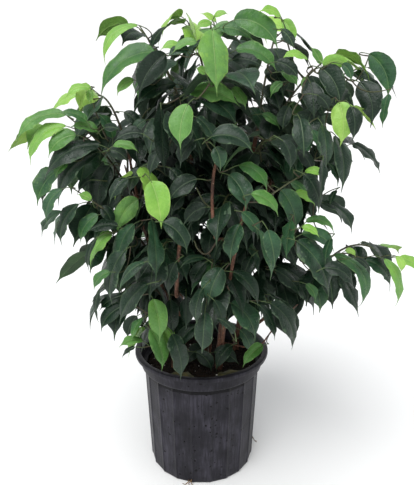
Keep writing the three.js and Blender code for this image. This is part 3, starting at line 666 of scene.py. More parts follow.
def leaf_back(joints, leaves, shoot, j):
    """How far back from the twig's end leaf number j grows."""
    lengths = np.linalg.norm(np.diff(joints, axis=0), axis=1)
    last = lengths[-1] if shoot else 0
    if j < shoot:
        return j * last / shoot
    pitch = min(LEAF_PITCH, (lengths.sum() - BARE_ROOT - last) / (leaves - shoot - 1))
    return (last + JOINT_MARGIN if shoot else 0) + (j - shoot) * pitch


def leaf_of(joints, leaves, shoot, seed, j, go):
    """Leaf number j of a spray, counted back from its end. Each go turns it further to one side
    or the other and lets it hang lower, until it is clear of its neighbours."""
    key = seed * 40 + j * 1000
    young = j < shoot
    root, heading = twig_place(joints, leaf_back(joints, leaves, shoot, j))
    side = 1 if j % 2 else -1
    opened = vary(LAST_OPEN, key + 1) if j == 0 else side * vary(OPEN, key + 1)
    turn = (1 if go % 2 else -1) * math.ceil(go / 2) * TRY_TURN
    size = vary(YOUNG_SIZE if young else SIZE, key + 2) * (1 - TRY_SHRINK * go)
    start = vary(YOUNG_START_PITCH if young else START_PITCH, key + 5) - TRY_DROP * go
    return {
        "root": root,
        "key": key,
        "young": young,
        "azimuth": math.atan2(heading[1], heading[0]) + math.radians(opened + turn),
        "length": LEAF_LENGTH * size,
        "stalk": STALK_LENGTH * vary(STALK, key + 3),
        "stalk_pitch": math.radians(vary(STALK_PITCH, key + 4)),
        "start_pitch": math.radians(start),
        "end_pitch": math.radians(vary(END_PITCH, key + 6) - TRY_DROP * go),
        "roll": math.radians(side * vary(ROLL, key + 7)),
        "twist": math.radians(vary(TWIST, key + 8)),
        "fold": math.radians(vary(FOLD, key + 9)),
    }


def stalk_end(leaf):
    """The point where a leaf's stalk ends and its blade begins."""
    out = leaf["stalk"] * math.cos(leaf["stalk_pitch"])
    rise = leaf["stalk"] * math.sin(leaf["stalk_pitch"])
    return leaf["root"] + [out * math.cos(leaf["azimuth"]), out * math.sin(leaf["azimuth"]), rise]


def blade_frame(leaf, along):
    """The midrib's points, and the directions across the blade and out of its upper face."""
    along = np.atleast_1d(along)
    bend = (leaf["end_pitch"] - leaf["start_pitch"]) / leaf["length"]
    pitch = leaf["start_pitch"] + bend * along
    out = (np.sin(pitch) - math.sin(leaf["start_pitch"])) / bend
    up = (math.cos(leaf["start_pitch"]) - np.cos(pitch)) / bend
    ahead = np.array([math.cos(leaf["azimuth"]), math.sin(leaf["azimuth"]), 0])
    left = np.array([-ahead[1], ahead[0], 0])
    roll = (leaf["roll"] + leaf["twist"] * along / leaf["length"])[:, None]
    above = np.cos(pitch)[:, None] * [0, 0, 1] - np.sin(pitch)[:, None] * ahead
    point = stalk_end(leaf) + out[:, None] * ahead + up[:, None] * [0, 0, 1]
    return point, left * np.cos(roll) + above * np.sin(roll), above * np.cos(roll) - left * np.sin(roll)


def nearest(points, place):
    """The one of some points that is nearest to a place."""
    return points[np.argmin(np.linalg.norm(points - place, axis=1))]


class Foliage:
    """Leaves and twigs gathered into one mesh. Every leaf point knows how far along and across
    its blade it is, in millimetres, and how old its leaf is, a tone that also carries painted
    light and shade."""

    def __init__(self):
        self.points, self.quads, self.triangles = [], [], []
        self.quad_kinds, self.triangle_kinds = [], []
        self.places, self.ages, self.margins = [], [], []
        self.count = 0

    def gather(self, points, quads, triangles, kinds, place, age, margin=None):
        """Adds a closed form, whose faces are of kinds that choose among the piece's materials."""
        self.points.append(points)
        self.quads.append(quads + self.count)
        self.triangles.append(np.asarray(triangles).reshape(-1, 3) + self.count)
        self.quad_kinds.append(kinds)
        self.triangle_kinds.append(np.full(len(self.triangles[-1]), kinds[-1]))
        self.places.append(place)
        self.ages.append(np.full(len(points), age))
        self.margins.append(np.zeros(len(points), bool) if margin is None else margin)
        self.count += len(points)

    def twig(self, joints, age, radii=(2.4, 1.15)):
        """A twig along its joints, its bends rounded and its end drawn to a pointed bud."""
        path = np.array(joints)
        for _ in range(2):
            near, far = path[:-1] * 0.75 + path[1:] * 0.25, path[:-1] * 0.25 + path[1:] * 0.75
            path = np.concatenate([path[:1], np.stack([near, far], axis=1).reshape(-1, 3), path[-1:]])
        share = np.linspace(0, 1, len(path))
        radius = radii[0] + (radii[1] - radii[0]) * share
        radius[-1] = 0.3
        sides = 7
        points, quads, triangles = tube(path, radius, sides)
        place = np.zeros((len(points), 3))
        place[:, 0] = np.repeat(share, sides)
        self.gather(points, quads, triangles, np.full(len(quads), 2), place, age)
        return path

    def leaf(self, leaf, age, fine=True, line=None):
        """A leaf's stalk, which starts on the twig's line where one is given, and its blade."""
        start, end = leaf["root"], stalk_end(leaf)
        if line is not None:
            start = nearest(line, start)
        first, _, _ = blade_frame(leaf, np.array([3.0]))
        sag = (start + end) / 2 + [0, 0, 0.06 * leaf["stalk"]]
        t = np.linspace(0, 1, 4)[:, None]
        path = start * (1 - t) ** 2 + sag * 2 * t * (1 - t) + end * t * t
        radii = STALK_RADIUS * np.array([1.25, 1, 0.9, 0.85, 0.5])
        points, quads, triangles = tube(np.concatenate([path, first]), radii, 5)
        self.gather(points, quads, triangles, np.full(len(quads), 3), np.zeros((len(points), 3)), age)
        self.blade(leaf, age, fine)

    def blade(self, leaf, age, fine):
        """A thin closed blade, with a groove along its midrib and a wavy margin."""
        key = leaf["key"]
        lanes = [-1, -0.72, -0.4, -0.07, 0, 0.07, 0.4, 0.72, 1] if fine else [-1, -0.5, 0, 0.5, 1]
        share, width = np.array(LEAF_OUTLINE if fine else LEAF_OUTLINE[::2]).T
        half = width * leaf["length"] * LEAF_HALF_WIDTH * vary(BLADE_GIRTH, key + 11)
        half = (half * leaf.get("widen", 1))[:, None]
        u, v = np.meshgrid(share, lanes, indexing="ij")
        uneven = 1 + 0.09 * np.sin(2 * np.pi * (1.3 * u + noise(key + 17)) + 2.2 * np.sign(v))
        reach = half * v * uneven * math.cos(leaf["fold"])
        reach = reach + vary((0, 0.06), key + 19) * leaf["length"] * u**3
        waves = vary((2.2, 0.8), key + 12)
        swing = np.sin(2 * np.pi * (waves * u + noise(key + 14)) + 1.9 * np.sign(v))
        swing = swing + 0.35 * np.sin(2 * np.pi * (2.7 * waves * u + noise(key + 18)) - 1.3 * np.sign(v))
        swing = vary((1.7, 1.2), key + 13) * (leaf["length"] / LEAF_LENGTH) * swing
        midrib = np.exp(-((v / 0.06) ** 2))
        rise = half * (math.sin(leaf["fold"]) * np.abs(v) * 1.5 - 0.26 * v * v)
        rise = rise + swing * np.abs(v) ** 2.4 * np.minimum(width[:, None] * 1.4, 1)
        rise = rise - 0.45 * midrib * (1 - u)
        thick = 0.42 + 0.5 * midrib * (1 - u)
        point, across, normal = [part[:, None] for part in blade_frame(leaf, share * leaf["length"])]
        upper = point + across * reach[..., None] + normal * rise[..., None]
        under = upper - normal * thick[..., None]
        points = np.concatenate([upper.reshape(-1, 3), under[1:-1, 1:-1].reshape(-1, 3)])

        rows, columns = u.shape
        top = np.arange(rows * columns).reshape(rows, columns)
        bottom = top.copy()
        bottom[1:-1, 1:-1] = np.arange(rows * columns, len(points)).reshape(rows - 2, columns - 2)
        quads = []
        for layer in (top, bottom):
            corners = [layer[:-1, :-1], layer[1:, :-1], layer[1:, 1:], layer[:-1, 1:]]
            quads.append(np.stack([corner.ravel() for corner in corners], axis=1))
        quads[1] = quads[1][:, ::-1]
        kinds = np.repeat([0, 1], len(quads[0]))
        place = np.stack([u * leaf["length"], half * v, half + 0 * v], axis=-1)
        places = np.concatenate([place.reshape(-1, 3), place[1:-1, 1:-1].reshape(-1, 3)])
        margin = np.zeros(len(points), bool)
        margin[top[:, [0, -1]]] = True
        self.gather(points, np.concatenate(quads), [], kinds, places, age, margin)

    def piece(self, name, materials):
        """The mesh of all that was gathered, kept within the plant's own size."""
        kinds = [np.concatenate(self.quad_kinds), np.concatenate(self.triangle_kinds)]
        faces = [np.concatenate(self.quads), np.concatenate(self.triangles)]
        points = np.clip(np.concatenate(self.points), low_corner, high_corner)
        piece = mesh_object(name, points, faces, materials, kinds)
        mesh = piece.data
        place = mesh.attributes.new("blade_place", "FLOAT_VECTOR", "POINT")
        place.data.foreach_set("vector", np.concatenate(self.places).astype(np.float32).ravel())
        age = mesh.attributes.new("leaf_age", "FLOAT", "POINT")
        age.data.foreach_set("value", np.concatenate(self.ages).astype(np.float32))
        margin = np.concatenate(self.margins)
        edges = np.empty(len(mesh.edges) * 2, dtype=np.int32)
        mesh.edges.foreach_get("vertices", edges)
        edges = edges.reshape(-1, 2)
        sharp = mesh.attributes.new("sharp_edge", "BOOLEAN", "EDGE")
        sharp.data.foreach_set("value", margin[edges].all(axis=1))
        return piece


def fig_leaf(name, under):
    """A fig leaf's waxy skin. Young blades are yellow green and old ones a blackish blue green
    with a soft gloss, the midrib is pale, fine side veins run to the margin every few
    millimetres, the margin is a thin pale line, and the underside is paler and duller."""
    material, tree = new_material(name)
    # The age attribute sets the blade's tone, which also carries painted light and shade from where the leaf
    # hangs.
    age = add(tree, "Attribute", {"attribute_name": "leaf_age"}).outputs["Fac"]
    place = add(tree, "TexCoord").outputs["Object"]
    blotch = add(tree, "TexNoise", Vector=place, Scale=1 / (30 * MM), Detail=7, Roughness=0.72)
    worn = add(tree, "MapRange", Value=blotch, From_Min=0.3, From_Max=0.7, To_Min=-0.08, To_Max=0.08)
    tone = add(tree, "Math", {"operation": "ADD"}, i0=age, i1=worn)
    stops = [
        (0, "#0c1d12"), (0.16, "#102617"), (0.3, "#162f1e"), (0.42, "#305438"), (0.54, "#3f6d2f"),
        (0.68, "#629149"), (0.84, "#7bad45"), (1, "#a3cc62"),
    ]
    if under:
        stops = [(0, "#2b3a31"), (0.3, "#42573f"), (0.5, "#587a4a"), (0.7, "#74a148"), (1, "#a9d063")]
    blade = add(tree, "ValToRGB", {"stops": stops}, Fac=tone)
    spot = add(tree, "Attribute", {"attribute_name": "blade_place"}).outputs["Vector"]
    parts = add(tree, "SeparateXYZ", Vector=spot)
    off = add(tree, "Math", {"operation": "ABSOLUTE"}, i0=parts.outputs["Y"])
    midrib = add(tree, "MapRange", Value=off, From_Min=0.3, From_Max=0.95, To_Min=0.8, To_Max=0)
    slant = add(tree, "Math", {"operation": "MULTIPLY_ADD"}, i0=off, i1=-0.5, i2=parts.outputs["X"])
    uneven = add(tree, "MapRange", Value=blotch, From_Min=0.3, From_Max=0.7, To_Min=-1.6, To_Max=1.6)
    strayed = add(tree, "Math", {"operation": "ADD"}, i0=slant, i1=uneven)
    beat = add(tree, "Math", {"operation": "MULTIPLY"}, i0=strayed, i1=2 * math.pi / VEIN_SPACING)
    wave = add(tree, "Math", {"operation": "COSINE"}, i0=beat)
    vein = add(tree, "MapRange", Value=wave, From_Min=0.7, From_Max=1, To_Min=0, To_Max=0.12)
    outward = add(tree, "Math", {"operation": "DIVIDE"}, i0=off, i1=parts.outputs["Z"])
    rim = add(tree, "MapRange", Value=outward, From_Min=0.9, From_Max=1, To_Min=0, To_Max=0.6)
    veins = add(tree, "Math", {"operation": "MAXIMUM"}, i0=midrib, i1=vein)
    lines = add(tree, "Math", {"operation": "MAXIMUM"}, i0=veins, i1=rim)
    share = add(tree, "Math", {"operation": "MULTIPLY"}, i0=lines, i1=0.42)
    pale = add(tree, "ValToRGB", {"stops": [(0, "#4a5d4e"), (0.5, "#86a268"), (1, "#c9e08a")]}, Fac=tone)
    colour = add(tree, "Mix", {"data_type": "RGBA"}, Factor=share, i6=blade, i7=pale)
    film = add(tree, "TexNoise", Vector=place, Scale=1 / (14 * MM), Detail=5, Roughness=0.6)
    least, most = (0.55, 0.7) if under else (0.24, 0.5)
    dull = add(tree, "MapRange", Value=film, From_Min=0.35, From_Max=0.65, To_Min=least, To_Max=most)
    swell = add(tree, "Math", {"operation": "MULTIPLY_ADD"}, i0=film, i1=3, i2=lines)
    bump = add(tree, "Bump", Height=swell, Distance=1.2 * MM, Strength=0.6)
    waxy = add(
        tree, "BsdfPrincipled", Base_Color=colour, Roughness=dull, Normal=bump, Specular_IOR_Level=0.34
    )
    add(tree, "OutputMaterial", Surface=waxy)
    return material


def twig_skin(name, old, green):
    """A twig's skin: brown and corky where it is old, green and smooth towards its end."""
    material, tree = new_material(name)
    spot = add(tree, "Attribute", {"attribute_name": "blade_place"}).outputs["Vector"]
    share = add(tree, "SeparateXYZ", Vector=spot).outputs["X"]
    place = add(tree, "TexCoord").outputs["Object"]
    streaks = add(tree, "TexNoise", Vector=place, Scale=1 / (5 * MM), Detail=3)
    mixed = add(tree, "Math", {"operation": "MULTIPLY_ADD"}, i0=streaks, i1=0.35, i2=share)
    colour = add(tree, "ValToRGB", {"stops": [(0.25, old), (1, green)]}, Fac=mixed)
    add(tree, "OutputMaterial", Surface=add(tree, "BsdfPrincipled", Base_Color=colour, Roughness=0.6))
    return material


leaf_skins = [
    fig_leaf("leaf_upper_cuticle", False),
    fig_leaf("leaf_under_cuticle", True),
    twig_skin("twig_skin", "#43352a", "#4d5433"),
    twig_skin("leaf_stalk_skin", "#46592f", "#6f8a42"),
]


def leaf_age(leaf):
    """Old leaves hang low and inside, and the darker tone there is also painted shade. Towards the
    top, the outside and the left side, which had more light, more are half grown, and the lighter
    tone there is also painted light."""
    if leaf["young"]:
        return vary((0.86, 0.12), leaf["key"] + 15)
    tip = stalk_end(leaf)
    outside = np.linalg.norm((tip - CROWN_CENTRE) / CROWN_REACH)
    # Lighter towards the top, the outside and the left: partly half-grown leaves, partly painted light.
    youth_and_light = 0.12 * min(max((tip[2] - 620) / 200, 0), 1) + 0.26 * max(min(outside, 1.2) - 0.5, 0)
    youth_and_light += 0.2 * min(max((-80 - tip[0]) / 120, 0), 1)
    late = 0.3 if noise(leaf["key"] + 16) > 0.95 else 0
    return max(youth_and_light + 0.14 * (noise(leaf["key"] + 15) - 0.5) + late, 0)


def leaf_card(leaf):
    """A leaf as two flat strips, which is enough to test whether it has room."""
    along = np.array([0.02, 0.3, 0.62, 1]) * leaf["length"]
    half = np.array([0.1, 1, 0.8, 0.02]) * leaf["length"] * LEAF_HALF_WIDTH * leaf.get("widen", 1)
    point, across, normal = blade_frame(leaf, along)
    rise = normal * (half * math.sin(leaf["fold"]))[:, None]
    aside = across * half[:, None]
    faces = [(k + i, k + i + 1, k + i + 5, k + i + 4) for k in (0, 4) for i in range(3)]
    return np.concatenate([point - aside + rise, point, point + aside + rise]), faces


class Room:
    """Where leaves already are: a new leaf is set only where it cuts through none of them."""

    def __init__(self):
        self.lows, self.highs, self.trees = [], [], []

    def enter(self, points, faces):
        self.lows.append(points.min(axis=0))
        self.highs.append(points.max(axis=0))
        self.trees.append(BVHTree.FromPolygons(points.tolist(), faces))

    def is_free(self, points, faces):
        low, high = points.min(axis=0), points.max(axis=0)
        near = (np.array(self.lows) < high).all(axis=1) & (np.array(self.highs) > low).all(axis=1)
        tree = BVHTree.FromPolygons(points.tolist(), faces)
        return not any(self.trees[i].overlap(tree) for i in np.nonzero(near)[0])


room = Room()
low_corner, high_corner = (np.array(corner) / MM for corner in cad_box)
spray_nodes = {}
for name, node in frame["nodes"].items():
    kind, _, number = name.partition("_")
    if kind in ("spray", "shoot"):
        corners = np.empty(len(node.data.vertices) * 3)
        node.data.vertices.foreach_get("co", corners)
        spray_nodes.setdefault(int(number) - 1, {})[kind] = corners.reshape(-1, 3) / MM

BARE_WOOD = 90
# Of a leaf's tries, the one that it took is the one whose tip lies this near to a solid leaf's
TIP_MATCH = 0.05
foliage = {}
twig_lines = []
for wood in WOOD:
    heights = np.arange(wood_foot(wood)[2] + BARE_WOOD, wood["top"][2], WOOD_STEP)
    twig_lines.append(np.array([wood_point(wood, z) for z in heights]))
for seed, solids in sorted(spray_nodes.items()):
    spray = SPRAYS[seed] if seed < len(SPRAYS) else crown_spray(seed - len(SPRAYS))
    wood, _, _, _, leaves, shoot = spray
    stem = WOOD[wood].get("parent", wood)
    joints = twig_joints(spray)
    grown = foliage.setdefault((stem, "mature"), (Foliage(), []))
    grown[1].append(f"spray_{seed + 1:02d}")
    line = grown[0].twig(joints, 0.2)
    twig_lines.append(line)
    young = foliage.setdefault((stem, "young"), (Foliage(), [])) if shoot else None
    if shoot:
        young[1].append(f"shoot_{seed + 1:02d}")
    for j in range(leaves):
        corners = solids["shoot" if j < shoot else "spray"]
        for go in range(LEAF_TRIES):
            leaf = leaf_of(joints, leaves, shoot, seed, j, go)
            tip = blade_frame(leaf, leaf["length"])[0][0]
            if np.linalg.norm(corners - tip, axis=1).min() < TIP_MATCH:
                target = young if j < shoot else grown
                target[0].leaf(leaf, leaf_age(leaf), line=line)
                room.enter(*leaf_card(leaf))
                break

for (stem, kind), (grown, nodes) in sorted(foliage.items()):
    piece = grown.piece(f"{kind}_leaves_of_stem_{stem + 1}", leaf_skins)
    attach(piece, "root")
    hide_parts(*nodes)

# The leaves nearest the viewer hang where the picture shows them, in front of those above. Each
# grows at the end of a short green side twig from the nearest wood or twig, at the depth where
# its sightline first meets the plant, and the lowest lean out over the pot's rim.
PICTURE_SIZE = (414, 485)
FOCAL_PIXELS = 471
CAMERA_PLACE = np.array([11.0, -878.0, 677.0])
CAMERA_TILT = 14.1
# How far the line of sight through the picture's middle goes ahead and down
LOOK_AHEAD, LOOK_DOWN = math.cos(math.radians(CAMERA_TILT)), math.sin(math.radians(CAMERA_TILT))
# The space kept clear before what a leaf or a branch covers, and inside the plant's own size
LEAF_GAP = 12
BRANCH_GAP = 7
EDGE_MARGIN = 2
BASE_MARGIN, TIP_MARGIN = 14, 5
# About how much a pixel spans at the crown, and the steps in which a leaf comes forward
PIXEL_SPAN = 1.6
FORWARD_STEP = 6
FORWARD_TRIES = 20
# The least share of its width that a leaf turns to show, and how its blade may narrow or widen
LEAST_SEEN = 0.66
WIDEN = (0.45, 1.3)
FRONT_STALK, STALK_ARCH = (0.85, 0.2), 0.3
FRONT_TWIST, FRONT_FOLD = (0, 0.22), (11, 7)
# What it costs a side twig to reach across, back and up, and to start less than a gap behind
REACH_COST = (1.8, 0.7, 1.8)
BEHIND_COST, BEHIND_GAP = 4, 4
FRONT_KEYS, KEY_STEP = 9000, 20
# Twigs seen from end to end, as their depth and their pixels from the crown outwards
FRONT_TWIGS = [
    (-80, [(158, 62), (149, 40), (139, 25)]), (-110, [(112, 150), (98, 120), (91, 95), (91, 86)]),
    (-110, [(118, 158), (95, 138), (66, 115)]), (-100, [(228, 66), (216, 34), (213, 18)]),
    (-90, [(294, 66), (285, 34), (281, 17)]), (-90, [(352, 86), (364, 70), (369, 56)]),
    (-90, [(316, 262), (345, 251), (362, 259), (385, 258), (396, 256)]),
    (-215, [(262, 202), (276, 191), (305, 173)]), (-120, [(108, 212), (91, 200), (71, 187)]),
    (-170, [(207, 257), (196, 248), (195, 240), (184, 236)]), (-190, [(226, 210), (206, 207), (196, 187)]),
]
# Woody shoots at the front from their feet upwards, as pixels with their depths, and their radii
FRONT_BRANCHES = [
    ([(222, 344, -56), (224, 318, -110), (228, 290, -170), (233, 262, -200), (240, 228, -215),
      (247, 202, -222)], 3.2),
    ([(216, 244, -150), (213, 224, -190), (212, 200, -205), (213, 176, -205), (217, 158, -190)], 2.9),
    ([(176, 300, -105), (177, 280, -165), (178, 262, -180), (180, 240, -170)], 3.8),
    ([(258, 350, -66), (272, 330, -92), (284, 317, -98), (298, 304, -92)], 1.6),
]
# A leaf's row: the pixels of its blade's base and tip, its width in pixels, its age from 0 for
# the oldest and darkest to 1, raised on some leaves as painted light and lowered on others as
# painted shade, and how many degrees it bends from base to tip
FRONT_LEAVES = [
    ((196, 326), (176, 352), 15, 0.12, 50), ((214, 352), (240, 364), 16, 0.22, 60),
    ((203, 346), (184, 368), 14, 0.2, 60), ((232, 345), (216, 372), 13, 0.22, 60),
    ((170, 300), (172, 336), 15, 0.08, 50), ((186, 296), (186, 330), 14, 0.1, 50),
    ((176, 262), (168, 296), 14, 0.12, 50), ((206, 262), (192, 288), 13, 0.1, 50),
    ((252, 256), (244, 282), 13, 0.14, 50), ((214, 300), (222, 330), 11, 0.2, 50),
    ((196, 352), (212, 372), 14, 0.22, 70), ((238, 338), (262, 352), 13, 0.15, 70),
    ((262, 186), (254, 204), 9, 0.2, 50), ((196, 140), (180, 168), 15, 0.08, 60),
    ((232, 128), (226, 160), 13, 0.06, 50), ((256, 142), (264, 172), 14, 0.1, 60),
    ((282, 140), (290, 172), 14, 0.1, 60), ((268, 150), (256, 178), 13, 0.06, 60),
    ((298, 150), (312, 176), 13, 0.1, 60), ((336, 190), (330, 206), 7, 0.2, 50),
    ((160, 150), (150, 178), 12, 0.1, 50), ((140, 168), (130, 196), 12, 0.15, 50),
    ((128, 178), (110, 204), 12, 0.2, 60), ((124, 112), (140, 132), 12, 0.2, 60),
    ((146, 120), (132, 138), 10, 0.35, 60), ((170, 168), (182, 192), 13, 0.12, 60),
    ((184, 196), (172, 216), 12, 0.2, 60), ((222, 240), (214, 268), 11, 0.14, 50),
    ((104, 226), (96, 246), 9, 0.35, 60), ((150, 258), (136, 284), 11, 0.2, 60),
    ((155, 52), (101, 97), 20, 0.5, 80), ((138, 25), (103, 66), 9, 0.8, 100),
    ((166, 54), (140, 97), 26, 0.1, 50), ((176, 84), (132, 110), 15, 0.3, 60),
    ((151, 48), (168, 24), 8, 0.2, 40), ((134, 80), (116, 96), 10, 0.7, 70),
    ((183, 47), (160, 51), 9, 0.8, 80), ((197, 42), (173, 54), 9, 0.65, 70),
    ((189, 50), (166, 58), 10, 0.35, 60), ((216, 22), (200, 14), 6, 0.9, 50),
    ((214, 17), (229, 14), 6, 0.85, 80), ((212, 24), (196, 30), 8, 0.8, 80),
    ((218, 28), (255, 42), 14, 0.5, 60), ((234, 20), (279, 50), 26, 0.52, 80),
    ((236, 50), (277, 73), 16, 0.55, 80), ((232, 60), (262, 68), 12, 0.15, 60),
    ((206, 74), (195, 68), 8, 0.75, 50), ((188, 92), (240, 108), 20, 0.62, 60),
    ((232, 88), (245, 110), 11, 0.68, 60), ((212, 29), (214, 97), 29, 0.7, 50),
    ((188, 104), (180, 150), 24, 0.65, 50), ((281, 17), (259, 13), 9, 0.85, 80),
    ((283, 20), (291, 47), 15, 0.8, 60), ((281, 30), (293, 50), 11, 0.3, 60),
    ((308, 60), (281, 60), 8, 0.85, 90), ((321, 64), (309, 47), 9, 0.7, 40),
    ((304, 77), (306, 100), 12, 0.75, 60), ((283, 82), (271, 98), 9, 0.55, 60),
    ((281, 72), (298, 88), 10, 0.55, 60), ((276, 62), (300, 80), 14, 0.15, 60),
    ((321, 68), (342, 106), 26, 0.25, 50), ((323, 66), (351, 68), 15, 0.85, 90),
    ((342, 64), (352, 82), 11, 0.4, 60), ((369, 54), (385, 100), 24, 0.44, 75),
    ((355, 72), (381, 106), 9, 0.3, 70), ((359, 82), (373, 128), 26, 0.14, 60),
    ((339, 102), (341, 147), 26, 0.92, 50), ((310, 82), (313, 120), 22, 0.15, 50),
    ((317, 95), (330, 112), 12, 0.15, 50), ((351, 106), (353, 142), 16, 0.12, 50),
    ((91, 88), (65, 99), 8, 0.82, 90), ((91, 90), (90, 105), 8, 0.75, 60),
    ((87, 121), (57, 113), 10, 0.5, 60), ((66, 115), (15, 147), 11, 0.62, 90),
    ((66, 126), (32, 168), 13, 0.8, 100), ((98, 132), (68, 127), 10, 0.6, 60),
    ((113, 138), (97, 111), 12, 0.45, 40), ((104, 128), (120, 131), 9, 0.25, 60),
    ((76, 135), (47, 158), 16, 0.58, 70), ((100, 145), (44, 184), 20, 0.15, 80),
    ((98, 152), (60, 206), 18, 0.22, 80), ((68, 162), (56, 179), 10, 0.5, 60),
    ((62, 189), (46, 224), 12, 0.4, 70), ((79, 204), (61, 247), 13, 0.3, 70),
    ((98, 215), (80, 244), 14, 0.45, 70), ((110, 166), (98, 213), 23, 0.1, 50),
    ((91, 180), (79, 192), 7, 0.12, 60), ((109, 150), (129, 162), 15, 0.25, 60),
    ((113, 146), (138, 153), 9, 0.68, 70), ((143, 134), (114, 143), 13, 0.12, 70),
    ((91, 200), (77, 194), 9, 0.75, 50), ((101, 206), (112, 229), 12, 0.15, 60),
    ((161, 108), (163, 178), 17, 0.1, 50), ((188, 97), (238, 131), 20, 0.28, 80),
    ((196, 117), (216, 150), 11, 0.3, 60), ((211, 137), (254, 153), 20, 0.28, 80),
    ((215, 147), (220, 172), 16, 0.35, 50), ((197, 179), (168, 205), 19, 0.2, 60),
    ((206, 207), (183, 226), 17, 0.2, 60), ((160, 207), (167, 228), 12, 0.35, 50),
    ((138, 199), (118, 235), 22, 0.66, 60), ((151, 181), (160, 229), 28, 0.85, 40),
    ((229, 175), (248, 212), 22, 0.38, 60), ((239, 165), (268, 193), 14, 0.5, 90),
    ((242, 212), (258, 239), 13, 0.4, 60), ((250, 108), (264, 138), 14, 0.36, 60),
    ((262, 114), (280, 130), 9, 0.5, 60), ((289, 106), (283, 132), 15, 0.25, 50),
    ((300, 119), (303, 158), 21, 0.28, 50), ((312, 130), (320, 159), 10, 0.42, 60),
    ((322, 124), (323, 172), 14, 0.3, 60), ((128, 240), (112, 262), 12, 0.15, 60),
    ((336, 136), (343, 193), 18, 0.3, 60), ((388, 94), (383, 129), 10, 0.44, 60),
    ((328, 163), (338, 188), 7, 0.3, 60), ((305, 172), (325, 179), 8, 0.85, 100),
    ((304, 174), (318, 214), 17, 0.12, 60), ((323, 160), (321, 202), 10, 0.15, 60),
    ((290, 182), (308, 198), 9, 0.5, 60), ((295, 193), (315, 207), 9, 0.8, 90),
    ((281, 190), (296, 233), 22, 0.4, 50), ((291, 220), (287, 260), 13, 0.42, 50),
    ((251, 194), (278, 217), 13, 0.58, 80), ((306, 222), (334, 235), 9, 0.55, 110),
    ((302, 234), (334, 253), 15, 0.42, 90), ((302, 227), (319, 238), 8, 0.85, 70),
    ((240, 224), (232, 264), 18, 0.35, 50), ((259, 230), (271, 281), 12, 0.42, 50),
    ((268, 230), (275, 268), 18, 0.36, 50), ((205, 258), (180, 269), 8, 0.27, 80),
    ((222, 268), (209, 306), 24, 0.34, 50), ((233, 272), (258, 309), 14, 0.2, 70),
    ((231, 303), (253, 342), 22, 0.37, 80), ((240, 330), (250, 355), 13, 0.34, 60),
    ((276, 266), (314, 315), 22, 0.18, 80), ((275, 270), (300, 300), 13, 0.2, 60),
    ((297, 241), (328, 299), 26, 0.32, 60), ((306, 284), (316, 302), 9, 0.5, 60),
    ((270, 303), (292, 350), 19, 0.18, 80), ((259, 305), (274, 341), 12, 0.14, 60),
    ((334, 255), (357, 311), 11, 0.46, 130), ((324, 268), (353, 290), 15, 0.1, 100),
    ((362, 260), (389, 292), 13, 0.34, 100), ((384, 259), (395, 308), 8, 0.72, 80),
    ((345, 251), (356, 257), 6, 0.92, 100), ((396, 256), (399, 273), 8, 0.92, 120),
    ((354, 258), (369, 279), 6, 0.15, 90), ((331, 238), (325, 264), 9, 0.36, 60),
    ((118, 226), (86, 233), 12, 0.12, 60), ((112, 232), (89, 266), 13, 0.7, 60),
    ((97, 238), (91, 273), 6, 0.14, 70), ((134, 224), (120, 268), 17, 0.36, 60),
    ((125, 250), (111, 305), 17, 0.3, 60), ((152, 220), (158, 285), 15, 0.36, 50),
    ((163, 222), (188, 254), 20, 0.26, 70), ((110, 272), (94, 291), 10, 0.52, 80),
    ((100, 288), (98, 323), 5, 0.15, 60), ((121, 296), (100, 312), 12, 0.17, 60),
    ((123, 306), (100, 332), 16, 0.24, 60), ((148, 284), (121, 326), 18, 0.2, 60),
    ((145, 262), (119, 293), 10, 0.34, 70), ((137, 316), (129, 339), 14, 0.15, 60),
    ((203, 288), (197, 326), 13, 0.22, 60), ((205, 312), (204, 355), 19, 0.28, 50),
    ((143, 318), (132, 341), 8, 0.5, 60), ((143, 341), (118, 348), 9, 0.64, 80),
    ((135, 347), (122, 359), 5, 0.14, 70), ((172, 334), (179, 381), 19, 0.26, 60),
    ((150, 329), (162, 371), 18, 0.58, 60), ((153, 299), (161, 342), 21, 0.67, 50),
    ((235, 333), (216, 318), 10, 0.22, 40), ((263, 345), (243, 368), 13, 0.6, 50),
]


def sighted(pixel, y):
    """The point that a pixel of the picture shows at a depth y, and the sightline to it."""
    across, down = [(pixel[k] - PICTURE_SIZE[k] / 2) / FOCAL_PIXELS for k in (0, 1)]
    sight = np.array([across, LOOK_AHEAD - down * LOOK_DOWN, -LOOK_DOWN - down * LOOK_AHEAD])
    return CAMERA_PLACE + sight * (y - CAMERA_PLACE[1]) / sight[1], sight


def picture_place(points):
    """The pixels at which the picture shows some points."""
    away = points - CAMERA_PLACE
    depth = away[:, 1] * LOOK_AHEAD - away[:, 2] * LOOK_DOWN
    rise = away[:, 1] * LOOK_DOWN + away[:, 2] * LOOK_AHEAD
    half = np.array(PICTURE_SIZE) / 2
    return half + FOCAL_PIXELS * np.stack([away[:, 0], -rise], axis=1) / depth[:, None]


def depth_met(pixel):
    """How deep a leaf or a branch is first met behind a pixel, or past the crown's edge the
    depth of the twig that the picture shows nearest."""
    sight = sighted(pixel, 0)[1]
    met = [tree.ray_cast(CAMERA_PLACE, sight)[0] for tree in room.trees]
    depths = [hit[1] for hit in met if hit]
    if depths:
        return min(depths)
    points = np.concatenate(twig_lines)
    return points[np.argmin(np.linalg.norm(picture_place(points) - pixel, axis=1))][1]


